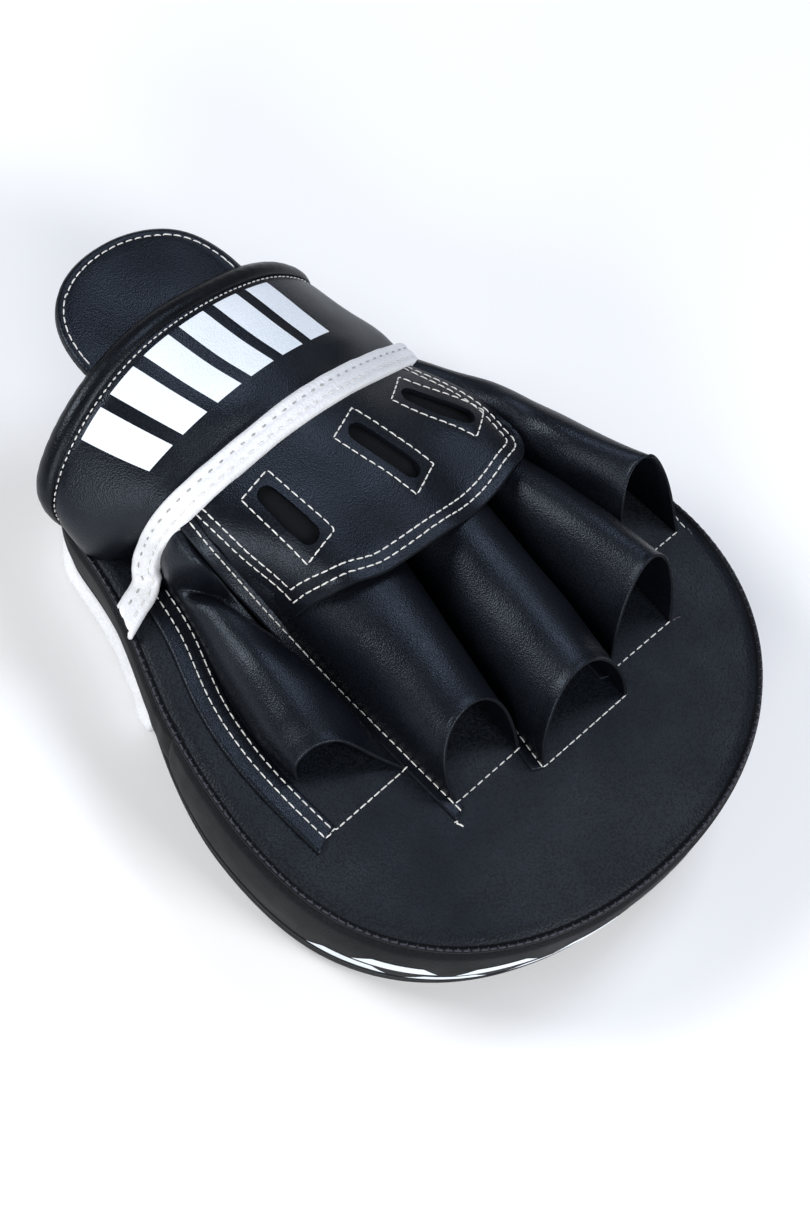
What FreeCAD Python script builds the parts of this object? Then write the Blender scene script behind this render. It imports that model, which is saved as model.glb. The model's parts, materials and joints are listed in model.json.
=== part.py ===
import FreeCAD, Part
import math
import os

# Focus mitt for the left hand, millimetres. The pad lies on its strike face.
# +X points to the thumb side, +Y to the fingertips, +Z to the hand side.
# The origin is on the strike face, at the middle of the round part of the pad.

# Pad outline
PAD_HALF_WIDTH = 100.0
PAD_WIDEST_Y = 3.0
PAD_TIP_Y = 85.0
PAD_ROUNDNESS = 2.15
THUMB_SIDE = [(96.8, -30.0), (88.7, -60.0), (76.5, -90.0), (72.0, -107.0), (68.0, -124.0), (52.0, -139.0),
              (28.0, -144.0)]
LITTLE_SIDE = [(-24.0, -144.0), (-46.0, -138.0), (-57.5, -123.0), (-61.5, -106.0), (-68.5, -84.0),
               (-78.0, -62.0), (-93.0, -30.0)]
HEEL_TAPER = 5.5
HEEL_TAPER_START_Y = -15.0
HEEL_TAPER_FULL_Y = -85.0

# Heights in the pad, from the strike face up
SEAM_Z = 13.0
WELT = 2.4
WALL_TOP = 41.2
PANEL_TOP = 42.0
PANEL_THICKNESS = 2.0
BACKING_THICKNESS = 1.5
FOAM_JOIN_LOW = 15.5
FOAM_JOIN_HIGH = 30.0
SKIN = 2.0
FACE_LEVELS = [(0.0, 18.0), (1.0, 13.0), (3.5, 7.5), (7.5, 4.2), (SEAM_Z, 3.0)]
STRIKE_FOAM_TOP_INSET = 6.5
CORE_LOW_INSET = 6.0
CORE_HIGH_INSET = 4.5
BACKING_TOP_INSET = 4.0
GUSSET_LOW_INSET = 2.6
GUSSET_SPLIT_Y = -50.0
PANEL_INSET = SKIN + 0.5
PALM_BACKING_INSET = 6.0
PALM_BACKING_FRONT_Y = 40.0

# Welts and the heel's bead, as (z, inset) levels of their outer and inner sides
FACE_WELT_OUTER = [(SEAM_Z, 2.6), (SEAM_Z + WELT / 2, 1.4), (SEAM_Z + WELT, 2.4)]
FACE_WELT_INNER = [(SEAM_Z, 5.0), (SEAM_Z + WELT, 4.6)]
RIM_WELT_OUTER = [(WALL_TOP, 0.0), (WALL_TOP + WELT / 2, -0.9), (WALL_TOP + WELT, 0.3)]
RIM_WELT_INNER = [(WALL_TOP, SKIN), (WALL_TOP + WELT, SKIN)]
HEEL_BEAD_OUTER = [(2.5, 8.6), (5.0, 3.4), (9.0, 1.4), (11.5, 2.6)]
HEEL_BEAD_INNER = [(2.5, 9.4), (3.5, 7.2), (7.5, 3.9), (11.5, 3.1)]
HEEL_BEAD_FRONT_Y = -60.0

# Glove part
LEATHER = 1.6
COVER = 1.8
MESH = 0.8
BINDING = 2.2
BINDING_FRONT_Y = -91.5
BINDING_BACK_Y = -101.0
BINDING_TAIL_START = (60.0, -100.0)
BINDING_TAIL_LENGTH = 16.0
BINDING_TAIL_WIDTH = 8.0
STRAIGHT_END_Y = -90.0
CUFF_SHELL = 2.0
CUFF_FOAM = 5.0
CUFF_LINING = 1.5
ROLL_LENGTH = 5.2
ROLL_BULGE = 0.6
ROLL_LIP = 2.0
GAP = 0.3
LAYER_GAP = 0.1
SHELL_FRONT_Y = -48.0
SHELL_BACK_Y = -95.2

# Palm grip
GRIP_X = 4.0
GRIP_Y = -72.0
GRIP_RADIUS = 22.0
GRIP_HEIGHT = 11.0

# Pull tab
TAB_X = 11.5
TAB_Y = -150.0
TAB_Z = 80.5
TAB_OUTLINE = [(35.3, 0.0), (34.0, -8.0), (31.3, -15.5), (26.0, -22.5), (16.0, -27.8), (0.0, -30.0)]
TAB_TILT = 6.0
TAB_LAYER = 1.6

# Outer line of the glove over the hand: (x, z) from the little-finger side to the thumb side
HAND_LINES = {
    -34.0: [(-76, 42), (-75, 52), (-66, 60), (-46, 66), (-20, 70.5), (8, 73), (27, 70), (37, 58),
            (39.5, 42)],
    -62.0: [(-73, 42), (-72, 52), (-65, 61), (-46, 68.5), (-19, 76), (8, 79), (28, 76), (37.5, 63),
            (39.8, 44)],
    -78.0: [(-68.5, 42), (-67.5, 52), (-60.5, 60), (-42, 68.5), (-18, 78), (7, 82), (28, 80),
            (38.5, 72), (42, 58)],
    -95.5: [(-61.5, 42), (-60, 50), (-53, 57), (-39, 66.5), (-17, 78), (4, 83.4), (24, 82.4),
            (36, 80), (46, 76.5)],
}

# Outer line of the cuff: y on the panel, lean back per mm of height, skew per mm of x, and (x, z) points
CUFF_FRONT_LINE = [(-61.5, 42), (-60, 50), (-53, 57), (-39, 66.5), (-17, 78), (4, 83.4), (24, 82.4),
                   (44, 77.3), (55.5, 69.5), (59, 56), (59, 42)]
CUFF_LINES = [
    (-96.0, 0.0, 0.0, CUFF_FRONT_LINE),
    (-102.0, 0.0, 0.0, CUFF_FRONT_LINE),
    (-112.0, 0.17, 0.05, [(-56.5, 42), (-56, 52), (-49, 60.5), (-36, 70.5), (-15, 80.5), (8, 86), (30, 87),
                          (48, 82), (60, 72.5), (66.5, 58), (65.5, 42)]),
    (-128.0, 0.36, 0.09, [(-50, 42), (-52, 51), (-45.5, 61.5), (-32, 72.5), (-12, 82), (10, 88.5),
                          (32, 90.5), (51, 86), (65.5, 75.5), (73.5, 60), (65.5, 42)]),
]

# Leather between the hand shell and the thumb sleeve, in the same form as the cuff's lines
THUMB_WEB_LINES = [
    (-62.5, 0.0, 0.0, [(42.0, 42), (46, 52), (54, 56.5), (62, 52), (66.5, 42)]),
    (-78.0, 0.0, 0.0, [(44.5, 56), (49.5, 62.5), (56, 62), (61, 54), (62.5, 42)]),
    (SHELL_BACK_Y, 0.0, 0.0, [(48, 75), (53, 71), (57, 65), (58.5, 56), (58.5, 42)]),
]

# Sleeves: mouth, middle and root as (foot x low, foot x high, y, height, crest shift, lean back, fullness)
SLEEVES = {
    "thumb_sleeve": [(41.5, 75.0, 6.5, 22, 10, 0.8, 0.95), (41.5, 73.0, -36, 19, 4, 0, 0.8),
                     (41.5, 66.5, -62, 14, 0, 0, 0.7)],
    "index_sleeve": [(8.5, 38.5, 25, 24, 1, 0.68, 0.6), (2.5, 39.0, -12, 26, 1, 0, 0.65),
                     (-4.5, 39.0, -47.5, 26, 0, 0, 0.6)],
    "middle_sleeve": [(-33.5, 6.8, 34.5, 27, 0.7, 0.44, 1.1), (-37.0, 1.0, -5, 27, 0.5, 0, 0.85),
                      (-40.0, -5.5, -47.5, 26, 0, 0, 0.65)],
    "ring_sleeve": [(-65.5, -35.5, 25.5, 34, -5, 0.43, 1.05), (-66.0, -38.5, -8, 29, -2, 0, 0.85),
                    (-60.5, -41.0, -47.5, 15, 0, 0, 0.6)],
    "little_sleeve": [(-91.0, -67.0, 4.4, 28, -5, 0.75, 0.75), (-86.5, -67.0, -24, 26, -1, 0, 0.75),
                      (-78.0, -61.5, -47.5, 18, 0, 0, 0.7)],
}

# Vent slots in the cover: centre x, centre y, tilt about Y in degrees, turn about Z in degrees
VENTS = [(28.5, -72.0, 8.0, 8.0), (-12.5, -70.0, -16.0, 19.0), (-44.5, -73.0, -32.0, 26.0)]
VENT_WIDTH = 7.0
VENT_LENGTH = 21.0
VENT_MARGIN = 2.5
VENT_MIDDLE_Z = 75.0
MESH_AREA = [(-62, -92), (-62, -58), (36, -58), (36, -92)]
COVER_OUTLINE = [(-59, -93), (-62, -52), (-58, -44), (-36, -36.5), (-8, -36.5), (14, -42), (39, -54),
                 (39, -66), (41, -80), (45, -93)]

# Beyond every side of the mitt
REACH = 400.0


def vec(x, y, z):
    return FreeCAD.Vector(x, y, z)


def spline_edge(points, periodic=False):
    curve = Part.BSplineCurve()
    curve.interpolate(points, PeriodicFlag=periodic)
    return curve.toShape()


def pad_curve():
    """Closed line of the pad's edge, counter-clockwise from the thumb side."""
    front = []
    depth = PAD_TIP_Y - PAD_WIDEST_Y
    for degrees in range(0, 91, 15):
        angle = math.radians(degrees)
        x = PAD_HALF_WIDTH * abs(math.cos(angle)) ** (2 / PAD_ROUNDNESS)
        y = PAD_WIDEST_Y + depth * math.sin(angle) ** (2 / PAD_ROUNDNESS)
        front.append((x, y))
    mirrored_front = [(-x, y) for x, y in reversed(front[:-1])]
    outline = front + mirrored_front + LITTLE_SIDE[::-1] + THUMB_SIDE[::-1]
    curve = Part.BSplineCurve()
    curve.interpolate([vec(x, y, 0) for x, y in outline], PeriodicFlag=True)
    return curve


PAD = pad_curve()
OUTLINE_SAMPLES = 48
ARCH_STEPS = 8


def heel_taper(y, z):
    """How much further in the pad's outline lies at the heel, below the panel."""
    share = (HEEL_TAPER_START_Y - y) / (HEEL_TAPER_START_Y - HEEL_TAPER_FULL_Y)
    share = min(max(share, 0.0), 1.0)
    depth = min(max((PANEL_TOP - z) / (PANEL_TOP - SEAM_Z), 0.0), 1.0)
    return HEEL_TAPER * depth * share * share * (3 - 2 * share)


def pad_wire(level_inset, z):
    """The pad's outline moved inwards by level_inset, at height z."""
    first, last = PAD.FirstParameter, PAD.LastParameter
    points = []
    for i in range(OUTLINE_SAMPLES):
        u = first + (last - first) * i / OUTLINE_SAMPLES
        point = PAD.value(u)
        tangent = PAD.tangent(u)[0]
        inset = level_inset + heel_taper(point.y, z)
        points.append(vec(point.x - tangent.y * inset, point.y + tangent.x * inset, z))
    return Part.Wire([spline_edge(points, periodic=True)])


def pad_solid(levels):
    """Solid through (z, inset) levels of the pad's outline."""
    wires = [pad_wire(inset, z) for z, inset in levels]
    return Part.makeLoft(wires, True, True)


def pad_ring(outer, inner):
    return pad_solid(outer).cut(pad_solid(inner))


def slab(shape, y_low=-REACH, y_high=REACH, z_low=-REACH):
    """The part of shape between two Y and above a Z."""
    return shape.common(Part.makeBox(2 * REACH, y_high - y_low, 2 * REACH, vec(-REACH, y_low, z_low)))


def above_panel(shape):
    return slab(shape, z_low=PANEL_TOP)


def strike_face():
    """Leather of the side that is struck, turned up round the foam."""
    inner = [(z + SKIN, inset + SKIN * 0.75) for z, inset in FACE_LEVELS[:-1]]
    inner.append((SEAM_Z, FACE_LEVELS[-1][1] + SKIN))
    return pad_ring(FACE_LEVELS, inner)


def strike_foam():
    inset_extra = SKIN * 0.75 + GAP
    levels = [(z + SKIN, inset + inset_extra) for z, inset in FACE_LEVELS[:-1]]
    levels.append((FOAM_JOIN_LOW, STRIKE_FOAM_TOP_INSET))
    return pad_solid(levels)


def core_foam():
    return pad_solid([(FOAM_JOIN_LOW, CORE_LOW_INSET), (FOAM_JOIN_HIGH, CORE_HIGH_INSET)])


def backing_foam():
    top = PANEL_TOP - PANEL_THICKNESS - BACKING_THICKNESS
    return pad_solid([(FOAM_JOIN_HIGH, CORE_HIGH_INSET), (top, BACKING_TOP_INSET)])


def gusset():
    """Side wall of the pad, all the way round."""
    bottom = SEAM_Z + WELT
    outer = [(bottom, GUSSET_LOW_INSET), (WALL_TOP, 0.0)]
    inner = [(z, inset + SKIN) for z, inset in outer]
    return pad_ring(outer, inner)


def back_panel():
    return pad_solid([(PANEL_TOP - PANEL_THICKNESS, PANEL_INSET), (PANEL_TOP, PANEL_INSET)])


def palm_backing():
    """Sheet sewn under the back panel, behind the whole glove part."""
    top = PANEL_TOP - PANEL_THICKNESS
    sheet = pad_solid([(top - BACKING_THICKNESS, PALM_BACKING_INSET), (top, PALM_BACKING_INSET)])
    return slab(sheet, y_high=PALM_BACKING_FRONT_Y)


def heel_binding():
    """White bead round the heel, where the strike face turns up."""
    return slab(pad_ring(HEEL_BEAD_OUTER, HEEL_BEAD_INNER), y_high=HEEL_BEAD_FRONT_Y)


def palm_grip():
    """Soft dome that the palm closes on, sewn to the back panel."""
    radius = (GRIP_RADIUS ** 2 + GRIP_HEIGHT ** 2) / (2 * GRIP_HEIGHT)
    ball = Part.makeSphere(radius, vec(GRIP_X, GRIP_Y, PANEL_TOP + GRIP_HEIGHT - radius))
    return above_panel(ball)


def offset_line(points, distance):
    """(x, z) points moved outwards; the feet stay on the panel."""
    moved = []
    for i, (x, z) in enumerate(points):
        before = points[max(i - 1, 0)]
        after = points[min(i + 1, len(points) - 1)]
        dx, dz = after[0] - before[0], after[1] - before[1]
        length = math.hypot(dx, dz)
        if z <= PANEL_TOP:
            moved.append((x - distance * math.copysign(1.0, dz), PANEL_TOP))
        else:
            moved.append((x - dz / length * distance, z + dx / length * distance))
    return moved


def crescent(line, inner, outer, back=0.0):
    """Closed wire between two offsets of a line, in the line's own tilted plane."""
    y, lean, skew, points = line

    def in_plane(distance):
        return [vec(x, y - back - lean * (z - PANEL_TOP) + skew * x, z)
                for x, z in offset_line(points, distance)]

    top, bottom = in_plane(outer), in_plane(inner)
    edges = [spline_edge(top), Part.makeLine(top[-1], bottom[-1]),
             spline_edge(bottom[::-1]), Part.makeLine(bottom[0], top[0])]
    return Part.Wire(edges)


def layer(lines, inner, outer):
    """Closed sheet between two offsets of a row of lines."""
    return above_panel(Part.makeLoft([crescent(line, inner, outer) for line in lines], True, False))


def hand_lines():
    """The hand's lines; the last one is repeated so that the part under the binding is straight."""
    lines = [(y, 0.0, 0.0, HAND_LINES[y]) for y in sorted(HAND_LINES)]
    return [lines[0], (STRAIGHT_END_Y, 0.0, 0.0, lines[0][3])] + lines[1:]


def clear_of_welt(shape):
    """Cut away what would stand on the rim welt."""
    low, high = WALL_TOP, WALL_TOP + WELT + GAP
    edge = SKIN + GAP
    ring = pad_ring([(low, -8.0), (high, -8.0)], [(low, edge), (high, edge)])
    return shape.cut(ring)


def slot_cutter(vent, grow):
    """Round-ended slot prism for one vent, tilted square to the cover."""
    x, y, tilt, turn = vent
    radius = VENT_WIDTH / 2 + grow
    half = VENT_LENGTH / 2 + grow - radius
    depth = VENT_MIDDLE_Z
    box = Part.makeBox(2 * radius, 2 * half, depth, vec(-radius, -half, -depth / 2))
    ends = [Part.makeCylinder(radius, depth, vec(0, end, -depth / 2)) for end in (-half, half)]
    cutter = box.fuse(ends)
    cutter.rotate(vec(0, 0, 0), vec(0, 0, 1), turn)
    cutter.rotate(vec(0, 0, 0), vec(0, 1, 0), tilt)
    cutter.translate(vec(x, y, VENT_MIDDLE_Z))
    return cutter


def prism(outline):
    corners = [vec(x, y, 0) for x, y in outline]
    face = Part.Face(Part.makePolygon(corners + corners[:1]))
    return face.extrude(vec(0, 0, REACH))


def hand_cover():
    sheet = layer(hand_lines(), -COVER, 0)
    sheet = sheet.common(prism(COVER_OUTLINE))
    for vent in VENTS:
        sheet = sheet.cut(slot_cutter(vent, 0))
    return sheet


def vent_mesh():
    sheet = layer(hand_lines(), -COVER - MESH, -COVER - LAYER_GAP)
    return sheet.common(prism(MESH_AREA))


def hand_shell():
    top = -COVER - MESH - LAYER_GAP
    sheet = slab(layer(hand_lines(), top - LEATHER, top), SHELL_BACK_Y, SHELL_FRONT_Y)
    for vent in VENTS:
        sheet = sheet.cut(slot_cutter(vent, VENT_MARGIN))
    return sheet


def sleeve_line(foot_low, foot_high, y, height, shift, lean, fullness):
    """One arch of a sleeve, from the little-finger foot to the thumb foot."""
    centre = (foot_low + foot_high) / 2
    half = (foot_high - foot_low) / 2
    points = [(foot_low, PANEL_TOP)]
    for step in range(1, ARCH_STEPS):
        angle = math.pi * (1 - step / ARCH_STEPS)
        rise = math.sin(angle)
        x = centre + half * math.cos(angle) + shift * rise
        points.append((x, PANEL_TOP + height * rise ** fullness))
    points.append((foot_high, PANEL_TOP))
    return y, lean, 0.0, points


def sleeve(stations):
    return layer([sleeve_line(*station) for station in stations], -LEATHER, 0)


def binding():
    """Band over the joint of cover and cuff, with its tail flat on the panel."""
    lines = [(y, 0.0, 0.0, CUFF_FRONT_LINE) for y in (BINDING_BACK_Y, BINDING_FRONT_Y)]
    band = layer(lines, 2 * GAP, BINDING)
    tail_corner = vec(*BINDING_TAIL_START, PANEL_TOP)
    tail = Part.makeBox(BINDING_TAIL_LENGTH, BINDING_TAIL_WIDTH, BINDING, tail_corner)
    return clear_of_welt(band.fuse(tail).removeSplitter())


def cuff_roll():
    """Rolled edge that closes the open end of the cuff."""
    depth = CUFF_SHELL + CUFF_FOAM + CUFF_LINING
    end = CUFF_LINES[-1]
    wires = [
        crescent(end, -depth, GAP, back=GAP / 2),
        crescent(end, -depth - ROLL_BULGE / 2, ROLL_BULGE, back=ROLL_LENGTH / 2),
        crescent(end, -depth + ROLL_LIP, -ROLL_LIP, back=ROLL_LENGTH),
    ]
    return clear_of_welt(above_panel(Part.makeLoft(wires, True, False)))


def tab_layer(low):
    """Half-oval leather flap, with its straight side on the fold line."""
    sides = [vec(x, y, low) for x, y in TAB_OUTLINE]
    sides += [vec(-x, y, low) for x, y in reversed(TAB_OUTLINE[:-1])]
    edges = [spline_edge(sides), Part.makeLine(sides[-1], sides[0])]
    flap = Part.Face(Part.Wire(edges)).extrude(vec(0, 0, TAB_LAYER))
    flap.rotate(vec(0, 0, 0), vec(0, 1, 0), -TAB_TILT)
    flap.translate(vec(TAB_X, TAB_Y, TAB_Z))
    return flap


def build():
    """Every node of the mitt by name."""
    wall = gusset()
    depth = CUFF_SHELL + CUFF_FOAM
    nodes = {
        "strike_face": strike_face(),
        "strike_foam": strike_foam(),
        "core_foam": core_foam(),
        "backing_foam": backing_foam(),
        "tip_gusset": slab(wall, y_low=GUSSET_SPLIT_Y),
        "heel_gusset": slab(wall, y_high=GUSSET_SPLIT_Y),
        "face_welt": pad_ring(FACE_WELT_OUTER, FACE_WELT_INNER),
        "rim_welt": pad_ring(RIM_WELT_OUTER, RIM_WELT_INNER),
        "heel_binding": heel_binding(),
        "back_panel": back_panel(),
        "palm_backing": palm_backing(),
        "palm_grip": palm_grip(),
        "hand_cover": hand_cover(),
        "vent_mesh": vent_mesh(),
        "hand_shell": hand_shell(),
        "thumb_web": layer(THUMB_WEB_LINES, -LEATHER, 0),
        "wrist_binding": binding(),
        "cuff_shell": clear_of_welt(layer(CUFF_LINES, -CUFF_SHELL, 0)),
        "cuff_foam": clear_of_welt(layer(CUFF_LINES, -depth, -CUFF_SHELL - LAYER_GAP)),
        "cuff_lining": layer(CUFF_LINES, -depth - CUFF_LINING, -depth - LAYER_GAP),
        "cuff_edge_roll": cuff_roll(),
        "tab_leather": tab_layer(0.0),
        "tab_backing": tab_layer(-TAB_LAYER),
    }
    for name, stations in SLEEVES.items():
        nodes[name] = sleeve(stations)
    return nodes


def export(nodes):
    os.makedirs("parts", exist_ok=True)
    for name, shape in nodes.items():
        shape.exportStep("parts/" + name + ".step")
        print(name, len(shape.Solids), shape.isValid(), round(shape.Volume, 1))


export(build())
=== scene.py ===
import bmesh
import bpy
import json
import math
import numpy as np
from mathutils import Matrix, Vector
from mathutils.bvhtree import BVHTree
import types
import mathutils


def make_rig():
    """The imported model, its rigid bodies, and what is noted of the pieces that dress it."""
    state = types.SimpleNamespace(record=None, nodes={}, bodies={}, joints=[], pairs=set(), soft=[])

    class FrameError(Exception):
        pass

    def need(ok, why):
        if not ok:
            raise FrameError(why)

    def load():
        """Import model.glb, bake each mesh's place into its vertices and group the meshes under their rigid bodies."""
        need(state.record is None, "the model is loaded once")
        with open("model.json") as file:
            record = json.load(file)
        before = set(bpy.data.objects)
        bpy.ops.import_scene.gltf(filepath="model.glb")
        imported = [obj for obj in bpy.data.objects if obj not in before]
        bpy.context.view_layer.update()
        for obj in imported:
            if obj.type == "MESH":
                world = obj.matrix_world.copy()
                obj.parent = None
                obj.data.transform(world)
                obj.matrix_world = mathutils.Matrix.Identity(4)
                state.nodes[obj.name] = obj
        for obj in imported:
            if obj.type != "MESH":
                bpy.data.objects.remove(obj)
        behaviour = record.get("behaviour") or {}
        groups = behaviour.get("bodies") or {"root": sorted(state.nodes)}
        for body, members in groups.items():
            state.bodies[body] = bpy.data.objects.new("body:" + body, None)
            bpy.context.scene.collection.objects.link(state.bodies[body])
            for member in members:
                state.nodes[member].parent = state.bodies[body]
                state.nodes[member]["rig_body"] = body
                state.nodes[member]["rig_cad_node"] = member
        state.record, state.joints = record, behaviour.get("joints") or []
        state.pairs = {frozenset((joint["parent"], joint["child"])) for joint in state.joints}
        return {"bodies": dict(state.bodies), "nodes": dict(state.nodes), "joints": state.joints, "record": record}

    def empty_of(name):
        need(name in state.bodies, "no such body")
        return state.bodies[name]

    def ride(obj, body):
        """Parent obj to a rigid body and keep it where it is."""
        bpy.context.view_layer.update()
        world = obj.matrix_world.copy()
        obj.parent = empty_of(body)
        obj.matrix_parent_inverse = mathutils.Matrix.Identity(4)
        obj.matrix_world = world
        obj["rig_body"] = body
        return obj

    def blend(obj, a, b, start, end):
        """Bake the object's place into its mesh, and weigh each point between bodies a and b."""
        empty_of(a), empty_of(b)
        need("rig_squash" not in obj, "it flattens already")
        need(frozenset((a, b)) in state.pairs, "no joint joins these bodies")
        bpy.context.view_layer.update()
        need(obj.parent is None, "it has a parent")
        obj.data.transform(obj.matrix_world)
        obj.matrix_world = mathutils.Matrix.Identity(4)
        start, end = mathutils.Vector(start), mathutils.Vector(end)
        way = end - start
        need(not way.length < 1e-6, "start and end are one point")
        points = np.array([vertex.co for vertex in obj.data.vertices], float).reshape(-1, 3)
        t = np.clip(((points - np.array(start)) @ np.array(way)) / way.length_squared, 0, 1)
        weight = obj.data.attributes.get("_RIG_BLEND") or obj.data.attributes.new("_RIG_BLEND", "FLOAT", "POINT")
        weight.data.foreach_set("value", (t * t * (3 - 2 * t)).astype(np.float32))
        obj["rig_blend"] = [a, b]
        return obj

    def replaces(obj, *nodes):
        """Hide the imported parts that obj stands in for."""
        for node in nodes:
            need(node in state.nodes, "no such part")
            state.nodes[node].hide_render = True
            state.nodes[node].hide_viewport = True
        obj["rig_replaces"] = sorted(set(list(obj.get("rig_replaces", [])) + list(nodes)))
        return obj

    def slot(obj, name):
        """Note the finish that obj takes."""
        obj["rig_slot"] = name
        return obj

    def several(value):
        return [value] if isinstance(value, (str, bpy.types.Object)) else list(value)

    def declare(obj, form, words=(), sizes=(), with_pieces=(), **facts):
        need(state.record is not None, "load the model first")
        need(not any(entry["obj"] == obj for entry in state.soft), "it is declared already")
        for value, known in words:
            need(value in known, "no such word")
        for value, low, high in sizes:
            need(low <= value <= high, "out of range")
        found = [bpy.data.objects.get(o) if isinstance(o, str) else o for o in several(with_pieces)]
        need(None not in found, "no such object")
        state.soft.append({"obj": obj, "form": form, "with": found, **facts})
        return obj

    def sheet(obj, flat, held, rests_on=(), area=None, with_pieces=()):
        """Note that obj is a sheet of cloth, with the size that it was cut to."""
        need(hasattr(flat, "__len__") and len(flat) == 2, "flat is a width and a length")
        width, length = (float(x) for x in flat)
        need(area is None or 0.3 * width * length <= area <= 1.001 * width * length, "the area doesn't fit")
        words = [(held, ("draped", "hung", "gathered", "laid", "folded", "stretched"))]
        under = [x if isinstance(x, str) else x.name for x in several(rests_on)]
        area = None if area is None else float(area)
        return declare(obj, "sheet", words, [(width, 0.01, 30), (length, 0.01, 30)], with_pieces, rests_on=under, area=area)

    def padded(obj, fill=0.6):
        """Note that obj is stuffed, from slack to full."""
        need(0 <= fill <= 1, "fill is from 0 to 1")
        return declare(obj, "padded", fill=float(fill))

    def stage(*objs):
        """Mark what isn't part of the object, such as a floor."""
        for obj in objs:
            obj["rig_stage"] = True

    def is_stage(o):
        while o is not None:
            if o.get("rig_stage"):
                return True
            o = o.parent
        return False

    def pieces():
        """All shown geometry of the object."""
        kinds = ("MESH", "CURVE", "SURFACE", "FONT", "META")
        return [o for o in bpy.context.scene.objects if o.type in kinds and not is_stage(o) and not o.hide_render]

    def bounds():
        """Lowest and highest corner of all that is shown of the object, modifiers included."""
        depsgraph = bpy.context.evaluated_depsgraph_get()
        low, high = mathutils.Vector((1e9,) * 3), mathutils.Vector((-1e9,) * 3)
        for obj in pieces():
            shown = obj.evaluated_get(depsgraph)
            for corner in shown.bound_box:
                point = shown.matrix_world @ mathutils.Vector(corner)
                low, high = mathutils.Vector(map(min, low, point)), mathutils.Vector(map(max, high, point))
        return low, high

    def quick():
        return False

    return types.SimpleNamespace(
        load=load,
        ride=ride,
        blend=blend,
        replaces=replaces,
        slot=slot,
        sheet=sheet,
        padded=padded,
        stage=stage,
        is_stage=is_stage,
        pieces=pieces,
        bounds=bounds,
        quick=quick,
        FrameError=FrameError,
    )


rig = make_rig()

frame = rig.load()
cad_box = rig.bounds()
scene = bpy.context.scene
rng = np.random.default_rng(7)

# All sizes below are in millimetres in the CAD frame; meshes are scaled to metres once, in make_mesh.
MM = 0.001
UP = np.array([0, 0, 1.0])
LEATHER_THICKNESS = 1.6
PANEL_Z = 42.0
SEAM_Z = 14.2
RIM_Z = 42.2

# Pad outline, the same points as the CAD pad
PAD_HALF_WIDTH = 100.0
PAD_WIDEST_Y = 3.0
PAD_TIP_Y = 85.0
PAD_ROUNDNESS = 2.15
THUMB_SIDE = [(96.8, -30), (88.7, -60), (76.5, -90), (72, -107), (68, -124), (52, -139), (28, -144)]
LITTLE_SIDE = [(-24, -144), (-46, -138), (-57.5, -123), (-61.5, -106), (-68.5, -84), (-78, -62), (-93, -30)]
HEEL_TAPER = 5.5
HEEL_TAPER_START_Y = -15.0
HEEL_TAPER_FULL_Y = -85.0
GUSSET_SPLIT_Y = -50.0
HEEL_TRIM_FRONT_Y = -63.0


# ---- curves and grids

def cubic(xs, ys, xq):
    """Natural cubic through ys (first axis) at xs, evaluated at xq."""
    xs, ys, xq = np.asarray(xs, float), np.asarray(ys, float), np.asarray(xq, float)
    n = len(xs)
    flat = ys.reshape(n, -1)
    h = np.diff(xs)
    system, right = np.eye(n), np.zeros_like(flat)
    for i in range(1, n - 1):
        system[i, i - 1:i + 2] = h[i - 1], 2 * (h[i - 1] + h[i]), h[i]
        right[i] = 6 * ((flat[i + 1] - flat[i]) / h[i] - (flat[i] - flat[i - 1]) / h[i - 1])
    second = np.linalg.solve(system, right)
    k = np.clip(np.searchsorted(xs, xq, side="right") - 1, 0, n - 2)
    hk = h[k][:, None]
    a = (xs[k + 1] - xq)[:, None]
    b = (xq - xs[k])[:, None]
    out = (second[k] * a ** 3 + second[k + 1] * b ** 3) / (6 * hk)
    out += (flat[k] / hk - second[k] * hk / 6) * a + (flat[k + 1] / hk - second[k + 1] * hk / 6) * b
    return out.reshape((len(xq),) + ys.shape[1:])


def arc_length(points):
    return np.r_[0, np.cumsum(np.linalg.norm(np.diff(points, axis=0), axis=1))]


def unit(vectors):
    return vectors / np.maximum(np.linalg.norm(vectors, axis=-1, keepdims=True), 1e-9)


def spaced(points, count):
    """count points evenly spaced along a polyline."""
    points = np.asarray(points, float)
    length = arc_length(points)
    at = np.linspace(0, length[-1], count)
    return np.stack([np.interp(at, length, points[:, i]) for i in range(points.shape[1])], 1)


def spline(points, count, closed=False):
    """count evenly spaced points along a smooth line through points."""
    p = np.asarray(points, float)
    n = len(p)
    if closed:
        p = np.vstack([p[-4:], p, p[:5]])
    chord = arc_length(p)
    start, end = (chord[4], chord[4 + n]) if closed else (0.0, chord[-1])
    dense = cubic(chord, p, np.linspace(start, end, 24 * n + 1))
    result = spaced(dense, count + 1 if closed else count)
    return result[:-1] if closed else result


class Surface:
    """A grid surface that can be read anywhere: u from 0 to 1 across, v from 0 to 1 along."""

    def __init__(self, grid):
        self.grid = grid
        self.normals = grid_normals(grid)

    def at(self, u, v, lift=0.0):
        u, v = np.broadcast_arrays(np.asarray(u, float), np.asarray(v, float))
        rows, columns = self.grid.shape[:2]
        r, c = np.clip(v, 0, 1) * (rows - 1), np.clip(u, 0, 1) * (columns - 1)
        i, j = np.minimum(r.astype(int), rows - 2), np.minimum(c.astype(int), columns - 2)
        fr, fc = (r - i)[..., None], (c - j)[..., None]

        def mix(a):
            low = a[i, j] * (1 - fc) + a[i, j + 1] * fc
            high = a[i + 1, j] * (1 - fc) + a[i + 1, j + 1] * fc
            return low * (1 - fr) + high * fr

        return mix(self.grid) + mix(self.normals) * lift


def smoothstep(low, high, value):
    t = np.clip((value - low) / (high - low), 0, 1)
    return t * t * (3 - 2 * t)


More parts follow.
